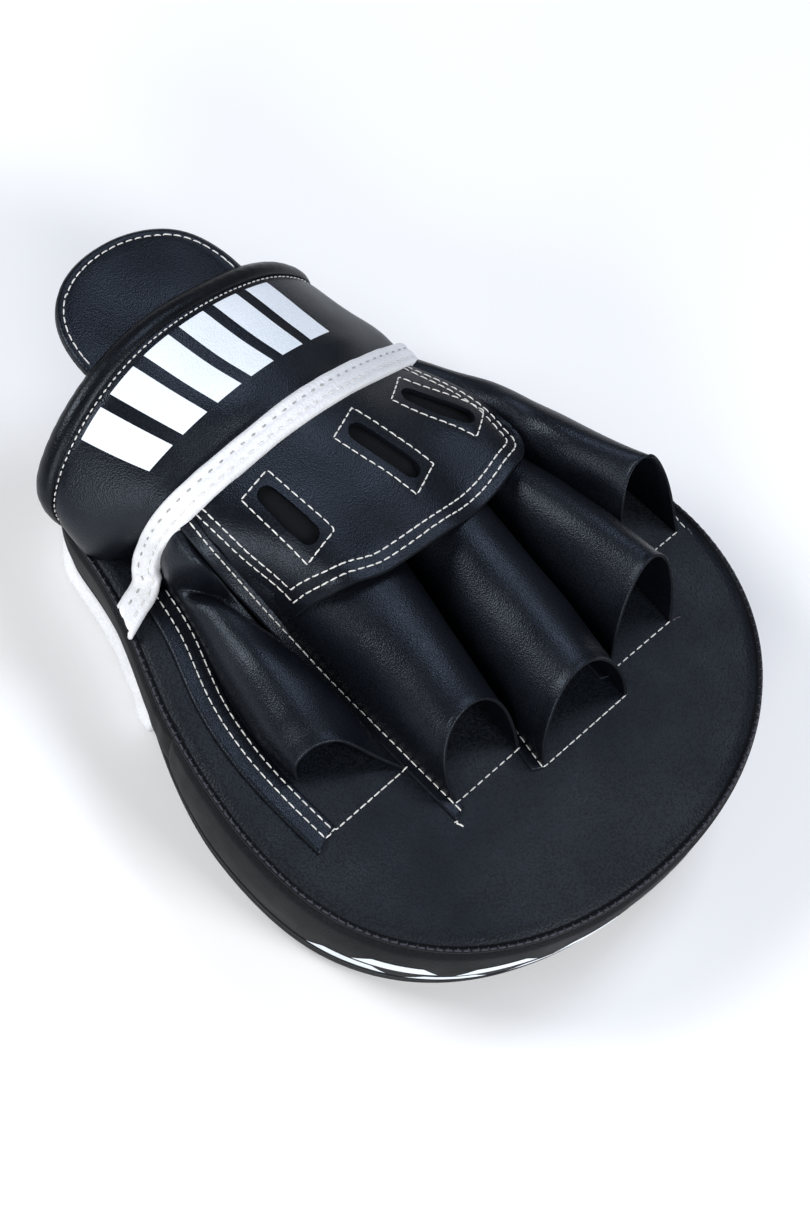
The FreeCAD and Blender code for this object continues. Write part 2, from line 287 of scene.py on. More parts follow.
def grid_normals(grid):
    """Unit normals of a (rows, columns, 3) grid."""
    return unit(np.cross(np.gradient(grid, axis=1), np.gradient(grid, axis=0)))


def value_noise(points, scale, seed):
    """Smooth noise from -1 to 1 at 3-D points; scale is the size of its features."""
    p = np.asarray(points, float) / scale
    base = np.floor(p).astype(np.int64)
    f = p - base
    f = f * f * (3 - 2 * f)
    total = np.zeros(p.shape[:-1])
    for corner in range(8):
        d = np.array([corner & 1, corner >> 1 & 1, corner >> 2 & 1])
        c = base + d
        key = (c[..., 0] * 73856093) ^ (c[..., 1] * 19349663) ^ (c[..., 2] * 83492791) ^ (seed * 2654435761)
        key = (key ^ (key >> 13)) * 1274126177
        random_value = ((key ^ (key >> 16)) & 0xFFFF) / 32767.5 - 1
        weight = np.prod(np.where(d, f, 1 - f), axis=-1)
        total += random_value * weight
    return total


# ---- meshes

def add_object(name, data):
    obj = bpy.data.objects.new(name, data)
    scene.collection.objects.link(obj)
    return obj


def make_mesh(name, verts, faces, smooth=True):
    mesh = bpy.data.meshes.new(name)
    mesh.from_pydata((np.asarray(verts, float) * MM).tolist(), [], faces)
    mesh.polygons.foreach_set("use_smooth", [smooth] * len(mesh.polygons))
    mesh.update()
    return add_object(name, mesh)


def grid_faces(rows, columns, closed=False, offset=0):
    last = columns if closed else columns - 1
    faces = []
    for i in range(rows - 1):
        for j in range(last):
            k = (j + 1) % columns
            low, high = offset + i * columns, offset + (i + 1) * columns
            faces.append((low + j, low + k, high + k, high + j))
    return faces


def recalculate_normals(obj, sharp_angle=None):
    """Outward normals, and sharp edges where the surface turns by more than sharp_angle degrees."""
    bm = bmesh.new()
    bm.from_mesh(obj.data)
    bmesh.ops.remove_doubles(bm, verts=bm.verts, dist=2e-6)
    bmesh.ops.recalc_face_normals(bm, faces=bm.faces)
    if sharp_angle:
        for edge in bm.edges:
            if len(edge.link_faces) == 2 and edge.calc_face_angle() > math.radians(sharp_angle):
                edge.smooth = False
    bm.to_mesh(obj.data)
    bm.free()
    obj.data.update()


def make_solid(name, verts, faces, smooth=True):
    """A closed mesh with outward normals."""
    obj = make_mesh(name, verts, faces, smooth)
    recalculate_normals(obj)
    return obj


def border(rows, columns):
    """Indices round the rim of a grid, in order."""
    ring = list(range(columns))
    ring += [i * columns + columns - 1 for i in range(1, rows)]
    ring += [(rows - 1) * columns + j for j in range(columns - 2, -1, -1)]
    ring += [i * columns for i in range(rows - 2, 0, -1)]
    return ring


RIM_ROUNDING = 0.3


def close_rim(verts, faces, ring, size, thickness):
    """Adds a rounded cut edge between the outer and inner copies of a ring of points."""
    top, low = verts[ring], verts[np.array(ring) + size]
    middle = (top + low) / 2
    tangent = np.roll(middle, -1, 0) - np.roll(middle, 1, 0)
    out = unit(np.cross(tangent, top - low))
    first = len(verts)
    for i in range(len(ring)):
        k = (i + 1) % len(ring)
        faces.append((ring[k], ring[i], first + i, first + k))
        faces.append((first + k, first + i, ring[i] + size, ring[k] + size))
    return np.concatenate([verts, middle + out * thickness * RIM_ROUNDING])


def thick_sheet(name, grid, thickness):
    """A sheet of leather: the grid is its outer side, and its cut edges are rounded."""
    rows, columns = grid.shape[:2]
    size = rows * columns
    inner = grid - grid_normals(grid) * thickness
    verts = np.concatenate([grid.reshape(-1, 3), inner.reshape(-1, 3)])
    faces = grid_faces(rows, columns)
    faces += [face[::-1] for face in grid_faces(rows, columns, offset=size)]
    verts = close_rim(verts, faces, border(rows, columns), size, thickness)
    obj = make_mesh(name, verts, faces)
    raw = obj.data.attributes.new("raw_edge", "FLOAT", "POINT")
    raw.data.foreach_set("value", [0.0] * (2 * size) + [1.0] * (len(verts) - 2 * size))
    recalculate_normals(obj)
    return obj


def patch_grid(outline, rings, centre):
    """Rings from an outline in to its middle, as a closed grid."""
    outline, centre = np.asarray(outline, float), np.asarray(centre, float)
    return np.array([outline + (centre - outline) * share for share in np.linspace(0, 0.97, rings)])


def cap(rows, columns, offset=0):
    return tuple(offset + (rows - 1) * columns + i for i in range(columns))


def capped_faces(rows, columns, offset=0):
    """Faces of closed rings, with the last ring filled."""
    return grid_faces(rows, columns, closed=True, offset=offset) + [cap(rows, columns, offset)]


def cloth_sheet(obj, grid, pieces=()):
    """Declares a piece of sewn-down leather or cloth, cut to the flat size of its pattern."""
    across = np.linalg.norm(np.diff(grid, axis=1), axis=2).sum(1).max()
    along = np.linalg.norm(np.diff(grid, axis=0), axis=2).sum(0).max()
    cells = np.cross(grid[1:, :-1] - grid[:-1, :-1], grid[:-1, 1:] - grid[:-1, :-1])
    area = min(np.linalg.norm(cells, axis=2).sum(), across * along) * MM * MM
    flat = (across * MM, along * MM)
    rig.sheet(obj, flat, "stretched", ["back_panel_leather"], max(area, 0.3 * flat[0] * flat[1]), pieces)


def surface_tree(*objects):
    """A search tree over the objects' final meshes, in millimetres."""
    verts, faces = [], []
    for obj in objects:
        offset = len(verts)
        verts.extend([v.co / MM for v in obj.data.vertices])
        faces.extend([[offset + i for i in p.vertices] for p in obj.data.polygons])
    return BVHTree.FromPolygons(verts, faces)


# Slots of the materials that aren't named after their slot
SLOTS = {"wall_leather": "black_leather", "rolled_leather": "welt_leather", "grey_thread": "dark_thread",
         "lavender_thread": "dark_thread"}


def finish_piece(obj, material, nodes=(), body="root"):
    obj.data.materials.clear()
    obj.data.materials.append(material)
    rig.ride(obj, body)
    # Blender adds .001 where the CAD model has a material of the same name
    name = material.name.split(".")[0]
    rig.slot(obj, SLOTS.get(name, name))
    if nodes:
        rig.replaces(obj, *nodes)
    return obj


def sheet_piece(name, grid, thickness, material, nodes=()):
    return finish_piece(thick_sheet(name, grid, thickness), material, nodes)


def capped_piece(name, grid, material, nodes):
    solid = make_solid(name, grid.reshape(-1, 3), capped_faces(*grid.shape[:2]))
    return finish_piece(solid, material, nodes)


# ---- cloth

CLOTH_FRAMES = 20
CLOTH = dict(quality=8, mass=0.3, tension_stiffness=15, compression_stiffness=15, shear_stiffness=5,
             bending_stiffness=3, vertex_group_mass="sewn", use_pressure=True)


def relax(grid, pinned, pressure, reach, cells=(26, 24)):
    """Leather settled by cloth simulation between its sewn edges; no point moves further than reach."""
    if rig.quick():
        return grid
    v, u = np.linspace(0, 1, cells[0]), np.linspace(0, 1, cells[1])
    coarse = Surface(grid).at(u[None], v[:, None])
    rows = np.round(v * (grid.shape[0] - 1)).astype(int)
    columns = np.round(u * (grid.shape[1] - 1)).astype(int)
    weights = pinned[np.ix_(rows, columns)].ravel()
    obj = make_mesh("settling", coarse.reshape(-1, 3), grid_faces(*cells))
    group = obj.vertex_groups.new(name="sewn")
    for index in np.flatnonzero(weights > 0):
        group.add([int(index)], float(weights[index]), "REPLACE")
    modifier = obj.modifiers.new("cloth", "CLOTH")
    for key, value in CLOTH.items():
        setattr(modifier.settings, key, value)
    modifier.settings.uniform_pressure_force = pressure
    modifier.settings.effector_weights.gravity = 0
    modifier.collision_settings.use_collision = False
    modifier.point_cache.frame_end = CLOTH_FRAMES
    for frame_number in range(1, CLOTH_FRAMES + 1):
        scene.frame_set(frame_number)
    settled = obj.evaluated_get(bpy.context.evaluated_depsgraph_get()).data
    points = np.zeros(len(settled.vertices) * 3, np.float32)
    settled.vertices.foreach_get("co", points)
    move = points.reshape(*cells, 3) / MM - coarse
    length = np.linalg.norm(move, axis=2, keepdims=True)
    move *= reach * np.tanh(length / reach) / np.maximum(length, 1e-6)
    bpy.data.objects.remove(obj)
    scene.frame_set(1)
    move = cubic(v, move, np.linspace(0, 1, grid.shape[0]))
    move = cubic(u, move.transpose(1, 0, 2), np.linspace(0, 1, grid.shape[1]))
    return grid + move.transpose(1, 0, 2)


def pins(grid, first_row=0.0, last_row=0.0, first_column=0.0, last_column=0.0):
    weights = np.zeros(grid.shape[:2])
    weights[0], weights[-1] = first_row, last_row
    weights[:, 0] = np.maximum(weights[:, 0], first_column)
    weights[:, -1] = np.maximum(weights[:, -1], last_column)
    return weights


# ---- stitches

STITCH_SIDES = 6
STITCH_SHARES = np.linspace(-1, 1, 7)
# How far a thread's middle stands over the surface, and its ends under that, against its width
THREAD_RISE, THREAD_SINK = 0.36, 0.7


def lay_stitches(verts, faces, tree, path, pitch, length, width, jitter):
    """Adds small rounded runs of thread along a path, sunk at both ends into the surface."""
    path = np.asarray(path, float)
    total = arc_length(path)
    count = max(1, int(round(total[-1] / pitch)))
    for k in range(count):
        middle = (k + 0.5) * total[-1] / count
        half = length / 2 * (1 + jitter * rng.uniform(-0.6, 0.4))
        sway = jitter * width * rng.uniform(-0.5, 0.5)
        s = np.clip(middle + STITCH_SHARES * half, 0, total[-1])
        points = np.stack([np.interp(s, total, path[:, i]) for i in range(3)], 1)
        normals = []
        for i, share in enumerate(STITCH_SHARES):
            place, normal, _, _ = tree.find_nearest(Vector(points[i]))
            height = width * (THREAD_RISE - THREAD_SINK * abs(share) ** 5)
            points[i] = np.array(place) + np.array(normal) * height
            normals.append(np.array(normal))
        normals = np.array(normals)
        side = np.cross(unit(np.gradient(points, axis=0)), normals)
        points += side * (sway * STITCH_SHARES)[:, None]
        base = len(verts)
        for i, share in enumerate(STITCH_SHARES):
            radius = width / 2 * max(0.3, 1 - abs(share) ** 4) ** 0.5
            for a in range(STITCH_SIDES):
                angle = 2 * math.pi * a / STITCH_SIDES
                around = side[i] * math.cos(angle) + normals[i] * math.sin(angle) * 0.75
                verts.append(points[i] + around * radius)
        faces += grid_faces(len(STITCH_SHARES), STITCH_SIDES, closed=True, offset=base)
        faces.append(tuple(base + a for a in reversed(range(STITCH_SIDES))))
        faces.append(cap(len(STITCH_SHARES), STITCH_SIDES, base))


def stitching(name, tree, paths, material=None, body="root", pitch=3.3, length=2.9, width=0.52,
              jitter=0.2):
    """One object of thread on the surface of a tree, along several paths; white if no material is given."""
    verts, faces = [], []
    for path in paths:
        lay_stitches(verts, faces, tree, path, pitch, length, width, jitter)
    return finish_piece(make_solid(name, np.array(verts), faces), material or WHITE_THREAD, body=body)


def dent(grid, paths, depth, width):
    """Lowers a grid along sewn lines."""
    normals = grid_normals(grid)
    nearest = np.full(grid.shape[:2], 1e9)
    for path in paths:
        for point in spaced(path, max(8, int(arc_length(np.asarray(path, float))[-1] / 1.2))):
            nearest = np.minimum(nearest, np.linalg.norm(grid - point, axis=2))
    return grid - normals * (depth * np.exp(-(nearest / width) ** 2))[..., None]


# ---- materials

class Material:
    """A material round a principled shader, with short ways to add nodes to it."""

    def __init__(self, name):
        self.material = bpy.data.materials.new(name)
        self.material.use_nodes = True
        self.nodes, self.links = self.material.node_tree.nodes, self.material.node_tree.links
        self.nodes.clear()
        out = self.nodes.new("ShaderNodeOutputMaterial")
        self.shader = self.nodes.new("ShaderNodeBsdfPrincipled")
        self.links.new(self.shader.outputs[0], out.inputs[0])
        self.coords = self.nodes.new("ShaderNodeTexCoord").outputs["Object"]

    def put(self, node, settings):
        """Lower-case settings are the node's own; the others are inputs, each a value or a linked output."""
        for key, value in settings.items():
            if key[0].islower():
                setattr(node, key, value)
            elif isinstance(value, bpy.types.NodeSocket):
                self.links.new(value, node.inputs[key.replace("_", " ")])
            else:
                node.inputs[key.replace("_", " ")].default_value = value
        return node

    def node(self, kind, **settings):
        return self.put(self.nodes.new("ShaderNode" + kind), settings)

    def texture(self, kind, scale, output=0, **settings):
        return self.node("Tex" + kind, Scale=scale, Vector=self.coords, **settings).outputs[output]

    def ramp(self, source, low, dark, high, light):
        """Colour from dark to light as the source goes from low to high."""
        node = self.node("ValToRGB", Fac=source)
        for element, position, colour in zip(node.color_ramp.elements, (low, high), (dark, light)):
            element.position = position
            element.color = (*colour, 1)
        return node.outputs[0]

    def map_range(self, source, low, high, to_low, to_high):
        return self.node("MapRange", Value=source, From_Min=low, From_Max=high, To_Min=to_low,
                         To_Max=to_high).outputs[0]

    def bump(self, height, distance, strength, **before):
        return self.node("Bump", Height=height, Distance=distance, Strength=strength, **before).outputs[0]

    def shade(self, **inputs):
        self.put(self.shader, inputs)
        return self.material


def leather(name, dark, light, rough, grain, depth, specular=0.5, tint=(1, 1, 1), pores=0.05, raw_tone=1.0):
    """Pebbled coated leather: colour drift, grain cells, pores, uneven gloss and dull cut edges."""
    m = Material(name)
    # Random colour drift of the leather; where dark and light lie far apart, as on the panel, it is partly the
    # leather's own uneven tone and partly painted sheen and painted shade
    colour = m.ramp(m.texture("Noise", 22.0, Detail=4.0, Roughness=0.55), 0.32, dark, 0.68, light)
    cells = m.texture("Voronoi", grain, "Distance", feature="SMOOTH_F1", Randomness=1.0, Smoothness=0.35)
    cell_tone = m.map_range(cells, 0.1, 0.7, 1 + pores, 1 - pores)
    raw = m.map_range(m.node("Attribute", attribute_name="raw_edge").outputs["Fac"], 0.05, 0.4, 0, 1)
    tone = m.map_range(raw, 0, 1, cell_tone, raw_tone)
    grained = m.node("VectorMath", operation="SCALE", Vector=colour, Scale=tone)
    gloss = m.texture("Noise", 60.0, Detail=3.0, Roughness=0.5)
    roughness = m.map_range(raw, 0, 1, m.map_range(gloss, 0.3, 0.7, *rough), 0.95)
    creases = m.texture("Noise", grain * 0.16, Detail=5.0, Roughness=0.62)
    fine = m.texture("Noise", grain * 1.9, Detail=3.0, Roughness=0.6)
    level = m.bump(creases, 0.0003, 0.06)
    level = m.bump(cells, depth, 0.65, Normal=level)
    level = m.bump(fine, depth * 0.5, 0.35, Normal=level)
    return m.shade(Base_Color=grained.outputs[0], Roughness=roughness, Normal=level,
                   Specular_IOR_Level=specular, Specular_Tint=(*tint, 1))


def thread(name, dark, light):
    """Twisted sewing thread."""
    m = Material(name)
    colour = m.ramp(m.texture("Noise", 900.0, Detail=2.0), 0.3, dark, 0.7, light)
    twist = m.texture("Wave", 700.0, "Fac", Distortion=2.0)
    return m.shade(Base_Color=colour, Normal=m.bump(twist, 0.0001, 0.6), Roughness=0.72, Sheen_Weight=0.15)


def woven(name, dark, light, scale):
    """Fine plain-woven cloth."""
    m = Material(name)
    product = m.node("Math", operation="MULTIPLY")
    for axis, factor in zip("XY", product.inputs):
        m.links.new(m.texture("Wave", scale, "Fac", bands_direction=axis, Distortion=0.4), factor)
    weave = product.outputs[0]
    return m.shade(Base_Color=m.ramp(weave, 0.1, dark, 0.9, light), Normal=m.bump(weave, 0.0002, 0.5),
                   Roughness=0.9, Specular_IOR_Level=0.2)


def plain_floor():
    m = Material("floor_paper")
    tone = m.texture("Noise", 3.0, Detail=2.0)
    return m.shade(Base_Color=m.ramp(tone, 0.3, (0.93, 0.93, 0.93), 0.7, (0.96, 0.96, 0.96)), Roughness=0.9)


BLACK = leather("black_leather", (0.0024, 0.0032, 0.0056), (0.0050, 0.0060, 0.0092), (0.33, 0.43),
                1900.0, 0.00015, 0.35, (0.74, 0.85, 1.0), 0.5, 0.2)
WALL = leather("wall_leather", (0.0044, 0.0050, 0.0066), (0.0072, 0.0080, 0.0100), (0.55, 0.68),
               1500.0, 0.00014, 0.12, (1, 1, 1), 0.4)
# Panel leather: its wide random drift from a bluish dark to a neutral light is partly uneven tone and partly painted
# sheen and painted shade
PANEL = leather("panel_leather", (0.0026, 0.0044, 0.0080), (0.0096, 0.0118, 0.0156), (0.42, 0.56),
                1300.0, 0.00022, 0.25, (0.88, 0.94, 1.0), 0.6)
WELTED = leather("welt_leather", (0.0024, 0.0028, 0.0038), (0.0045, 0.005, 0.0065), (0.4, 0.55),
                 1500.0, 0.00016, 0.2, (0.84, 0.92, 1.0), 0.4)
WHITE = leather("white_leather", (0.70, 0.71, 0.73), (0.84, 0.85, 0.87), (0.42, 0.56), 1100.0, 0.0002)
GLOSS = leather("rolled_leather", (0.002, 0.0025, 0.0038), (0.0038, 0.0045, 0.006), (0.30, 0.42),
                1500.0, 0.00012, 0.25, (0.8, 0.89, 1.0), 0.4)
WHITE_THREAD = thread("white_thread", (0.62, 0.61, 0.58), (0.86, 0.85, 0.82))
GREY_THREAD = thread("grey_thread", (0.30, 0.29, 0.27), (0.45, 0.44, 0.42))
DARK_THREAD = thread("dark_thread", (0.035, 0.034, 0.042), (0.075, 0.072, 0.09))
RIM_THREAD = thread("lavender_thread", (0.012, 0.012, 0.019), (0.034, 0.034, 0.052))
MESH_CLOTH = woven("mesh_cloth", (0.002, 0.0026, 0.0038), (0.0075, 0.009, 0.0118), 2200.0)
LINING = woven("lining_cloth", (0.010, 0.010, 0.012), (0.022, 0.022, 0.025), 1600.0)
PRINT = leather("white_print", (0.74, 0.80, 0.86), (0.84, 0.89, 0.94), (0.40, 0.52), 1500.0, 0.00012)


# ---- pad

EDGE_COUNT = 420


def pad_line():
    """The pad's edge, counter-clockwise from the thumb side, and its outward directions."""
    front = []
    for degrees in range(0, 91, 15):
        angle = math.radians(degrees)
        front.append((PAD_HALF_WIDTH * abs(math.cos(angle)) ** (2 / PAD_ROUNDNESS),
                      PAD_WIDEST_Y + (PAD_TIP_Y - PAD_WIDEST_Y) * math.sin(angle) ** (2 / PAD_ROUNDNESS)))
    points = front + [(-x, y) for x, y in reversed(front[:-1])] + LITTLE_SIDE[::-1] + THUMB_SIDE[::-1]
    line = spline(points, EDGE_COUNT, closed=True)
    tangent = unit(np.roll(line, -1, 0) - np.roll(line, 1, 0))
    return line, np.stack([tangent[:, 1], -tangent[:, 0]], 1)


EDGE, EDGE_OUT = pad_line()
PAD_MIDDLE = (0, -25)
FACE_INSET, FACE_EDGE_RADIUS = 3.2, 15.0


def pad_ring(inset, z):
    """The pad's edge moved in by inset at height z, with the heel's taper under the panel."""
    share = smoothstep(-HEEL_TAPER_START_Y, -HEEL_TAPER_FULL_Y, -EDGE[:, 1])
    depth = np.clip((PANEL_Z - z) / (PANEL_Z - 13.0), 0, 1)
    move = inset + HEEL_TAPER * depth * share
    return np.column_stack([EDGE - EDGE_OUT * move[:, None], np.full(EDGE_COUNT, float(z))])


def rim_distance(points):
    """Distance in plan from each point to the pad's edge."""
    flat = np.asarray(points, float)[..., :2].reshape(-1, 2)
    best = np.full(len(flat), 1e9)
    for point in EDGE:
        best = np.minimum(best, np.linalg.norm(flat - point, axis=1))
    return best.reshape(np.shape(points)[:-1])


def panel_height(points):
    inset = rim_distance(points)
    z = PANEL_Z - 1.5 + 1.7 * smoothstep(0.8, 6.5, inset) + 0.25 * smoothstep(8, 30, inset)
    return z + 0.2 * value_noise(points, 34.0, 3) * smoothstep(4, 16, inset)


def make_pad():
    """Back panel, and the strike face with its rounded edge."""
    outline = np.column_stack([EDGE - EDGE_OUT * 0.9, np.full(EDGE_COUNT, PANEL_Z)])
    grid = patch_grid(outline, 80, (*PAD_MIDDLE, PANEL_Z))
    grid[..., 2] = panel_height(grid)
    panel = capped_piece("back_panel_leather", grid, PANEL, ["back_panel", "palm_backing"])
    rows = []
    for angle in np.linspace(0, math.pi / 2, 14):
        inset = FACE_INSET + FACE_EDGE_RADIUS * (1 - math.cos(angle)) ** 1.25
        rows.append(pad_ring(inset, (SEAM_Z - 1.0) * (1 - math.sin(angle))))
    middle = np.array([*PAD_MIDDLE, 0])
    rows += [rows[-1] + (middle - rows[-1]) * share for share in np.linspace(0.12, 0.98, 12)]
    face = capped_piece("strike_leather", np.array(rows), WALL,
                        ["strike_face", "strike_foam", "core_foam", "backing_foam"])
    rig.padded(face, fill=0.9)
    return panel


WALL_ROWS = 18
WALL_TOP_Z = RIM_Z - 0.9


def edge_run(first, count):
    return (first + np.arange(count)) % EDGE_COUNT


def from_ends(count):
    """How many places each of count places in a row lies from the nearer end."""
    return np.minimum(np.arange(count), np.arange(count)[::-1])


def wall_grid(first, last):
    """Gusset between two places on the edge, rolled out of the rim seam and bulged between its seams."""
    count = (last - first) % EDGE_COUNT
    index = edge_run(first, count + 1)
    shares = np.linspace(0, 1, WALL_ROWS)
    rows = []
    for share in shares:
        z = WALL_TOP_Z - share * (WALL_TOP_Z - SEAM_Z)
        roll = 1.9 * (1 - smoothstep(0, 0.13, share))
        rows.append(pad_ring(0.1 + 2.7 * share - 1.5 * math.sin(math.pi * share) ** 0.7 + roll, z)[index])
    grid = np.array(rows)
    ends = from_ends(count + 1)
    tuck = 1.2 * (1.0 - smoothstep(0, 3, ends))
    puckers = 0.5 * (1.0 - smoothstep(0, 14, ends)) * np.sin(ends * 1.1)
    swell = np.sin(np.pi * shares)[:, None]
    move = 0.45 * value_noise(grid, 26.0, 5) * swell + puckers[None] * swell - tuck[None]
    grid[..., :2] += EDGE_OUT[index][None] * move[..., None]
    return grid[::-1]


def edge_places(y):
    """The places on the edge at a y, on the thumb side and on the little-finger side."""
    return [int(np.argmin(np.abs(EDGE[:, 1] - y) + 1000 * (side * EDGE[:, 0] < 0))) for side in (1, -1)]


def make_walls():
    thumb_split, little_split = edge_places(GUSSET_SPLIT_Y)
    tip = wall_grid(thumb_split, little_split)
    heel = wall_grid(little_split, thumb_split)
    sheet_piece("tip_wall", tip, LEATHER_THICKNESS, WALL, ["tip_gusset"])
    sheet_piece("heel_wall", heel, LEATHER_THICKNESS, WALL, ["heel_gusset"])
    return Surface(tip)


def tube(name, centres, across, half_width, half_height, closed):
    """A rounded cord of leather along a level line, with its own directions across."""
    sides = 12
    grid = []
    for side in range(sides):
        angle = 2 * math.pi * side / sides
        grid.append(centres + across * (half_width * math.cos(angle))[:, None]
                    + UP * (half_height * math.sin(angle))[:, None])
    grid = np.array(grid + grid[:1])
    columns = grid.shape[1]
    faces = grid_faces(sides + 1, columns, closed)
    if not closed:
        faces.append(tuple(side * columns for side in range(sides)))
        faces.append(tuple(side * columns + columns - 1 for side in reversed(range(sides))))
    return make_solid(name, grid.reshape(-1, 3), faces)


def pad_bead(name, inset, z, width, height, material, nodes, index=None):
    """Piping that follows the pad's edge, all round or along the places of an index."""
    line = pad_ring(inset, z)
    out = np.column_stack([EDGE_OUT, np.zeros(EDGE_COUNT)])
    closed = index is None
    if closed:
        index, size = np.arange(EDGE_COUNT), np.ones(EDGE_COUNT)
    else:
        ends = from_ends(len(index))
        size = 0.5 + 0.5 * smoothstep(0, 4, ends)
        size *= 1 + 0.12 * value_noise(line[index], 9.0, 8) + 0.35 * (1 - smoothstep(3, 9, ends))
    finish_piece(tube(name, line[index], out[index], width * size, height * size, closed), material, nodes)


def make_beads():
    pad_bead("rim_seam", 1.5, RIM_Z - 1.0, 0.9, 0.75, WELTED, ["rim_welt"])
    pad_bead("strike_seam", 3.4, SEAM_Z - 0.2, 1.2, 1.1, WELTED, ["face_welt"])
    last, first = edge_places(HEEL_TRIM_FRONT_Y)
    heel = edge_run(first, (last - first) % EDGE_COUNT)
    pad_bead("heel_trim", 3.6, 7.6, 2.9, 3.8, WHITE, ["heel_binding"], heel)


# ---- hand, cover and vents

HAND_LINES = {
    -95.5: [(-61.5, 42), (-60, 50), (-53, 57), (-39, 66.5), (-17, 78), (4, 83.4), (24, 82.4), (36, 81.2),
            (46, 78), (51.5, 73.5)],
    -84.0: [(-66.5, 42), (-65.5, 51), (-58, 59), (-41, 67.8), (-18, 78), (6, 82.6), (28, 81), (40, 79),
            (48, 75), (51.3, 69.5)],
    -73.0: [(-70, 42), (-69, 52), (-62, 60.5), (-43, 68.5), (-18, 77.5), (7, 81), (28, 79.5), (38, 76.5),
            (44.5, 70), (47.3, 61)],
    -62.0: [(-73, 42), (-72, 52), (-65, 61), (-46, 68.5), (-19, 76), (8, 79), (28, 76.5), (36, 71.5),
            (41, 61.5), (43.6, 52.5)],
    -50.0: [(-75, 42), (-74, 52), (-66, 60.8), (-46, 67.3), (-20, 73.3), (8, 76), (27.5, 73.3), (35, 67.5),
            (39, 57), (41, 46)],
    -34.0: [(-76, 42), (-75, 52), (-66, 60), (-46, 66), (-20, 70.5), (8, 73), (27, 70), (37, 58),
            (39.5, 42)],
}
HAND_BACK_Y = -95.5
HAND_FRONT_Y = -34.0
COVER_BACK_Y = -95.0
COVER_FRONT = [(-61, -54.5), (-60.8, -49), (-58.5, -45.2), (-50.2, -42.3), (-38.3, -39.5), (-24.6, -37.9),
               (-8, -38.4), (8.6, -39.6), (17, -41), (25.2, -44.2), (34.7, -48), (39.1, -51)]
COVER_NEAR_U = 0.997
COVER_FAR_BACK_X = -53.0
COVER_THICKNESS = 1.8
KNUCKLE_HEIGHT, KNUCKLE_X, KNUCKLE_PITCH = 1.4, 29, 38
STITCH_INSET = 3.4
STITCH_ROW_GAP = 3.1
# Vents: middle x and y, turn in degrees, size against the common size
VENTS = [(28.0, -72.6, 9.0, 1.0), (-13.2, -70.0, 19.0, 1.12), (-44.5, -73.0, 27.0, 1.06)]
VENT_WIDTH, VENT_LENGTH = 6.9, 24.0
VENT_BOX_WIDTH, VENT_BOX_LENGTH = 13.5, 28.0
VENT_CUT = 6.0


def loft(lines, columns, rows):
    """Grid through section lines, given by position: rows run along, columns across."""
    positions = list(lines)
    sections = np.array([spline(line, columns) for line in lines.values()])
    return cubic(positions, sections, np.linspace(positions[0], positions[-1], rows))


def upright(lines):
    """Section lines of (x, z) points, each upright at its own y."""
    return {y: [(x, y, z) for x, z in points] for y, points in lines.items()}


HAND = Surface(loft(upright(HAND_LINES), 150, 70))
HAND_WIDTH = 165.0


def hand_u(x, y):
    """Where across the hand an x lies, at a y."""
    u = np.linspace(0, 1, 300)
    return np.interp(x, np.maximum.accumulate(hand_at(u, y)[:, 0]), u)


def hand_at(u, y, lift=0.0):
    return HAND.at(u, (np.asarray(y) - HAND_BACK_Y) / (HAND_FRONT_Y - HAND_BACK_Y), lift)


def cover_rails(columns):
    """Front and back ends (u, y) of the cover's columns, from the little-finger side."""
    front = spline(COVER_FRONT, columns)
    front_u = np.array([hand_u(x, y) for x, y in front])
    back_u = np.linspace(hand_u(COVER_FAR_BACK_X, COVER_BACK_Y), COVER_NEAR_U, columns)
    return np.column_stack([front_u, front[:, 1]]), np.column_stack([back_u, np.full(columns, COVER_BACK_Y)])


def knuckles(points):
    """Soft ridges over the fingers, deepest at the front edge of the cover."""
    fade = smoothstep(-88, -42, points[..., 1]) * smoothstep(-64, -52, points[..., 0])
    fade *= 1 - smoothstep(28, 38, points[..., 0])
    return KNUCKLE_HEIGHT * np.cos(2 * math.pi * (points[..., 0] - KNUCKLE_X) / KNUCKLE_PITCH) * fade


def parallel(points, inset):
    """Points of an open line in flat cover sizes, moved to its right by inset, with mitred corners."""
    p = np.asarray(points, float)
    d = unit(np.diff(p, axis=0))
    right = np.column_stack([d[:, 1], -d[:, 0]])
    first = np.vstack([right[:1], right])
    last = np.vstack([right, right[-1:]])
    mitre = unit(first + last)
    scale = inset / np.maximum((mitre * first).sum(1), 0.3)
    return p + mitre * scale[:, None]


def cover_edge(inset):
    """Line on the cover at an inset from its free edges, from the far back to the near back."""
    front, back = cover_rails(40)
    flat = np.vstack([back[:1], front, back[-1:]]) * [HAND_WIDTH, 1]
    return parallel(flat, inset) / [HAND_WIDTH, 1]


def on_cover(flat, count=160):
    """3-D places of (u, y) points, on the hand at the height of the cover's top."""
    flat = spaced(np.asarray(flat) * [HAND_WIDTH, 1], count) / [HAND_WIDTH, 1]
    return hand_at(flat[:, 0], flat[:, 1], 1.5)


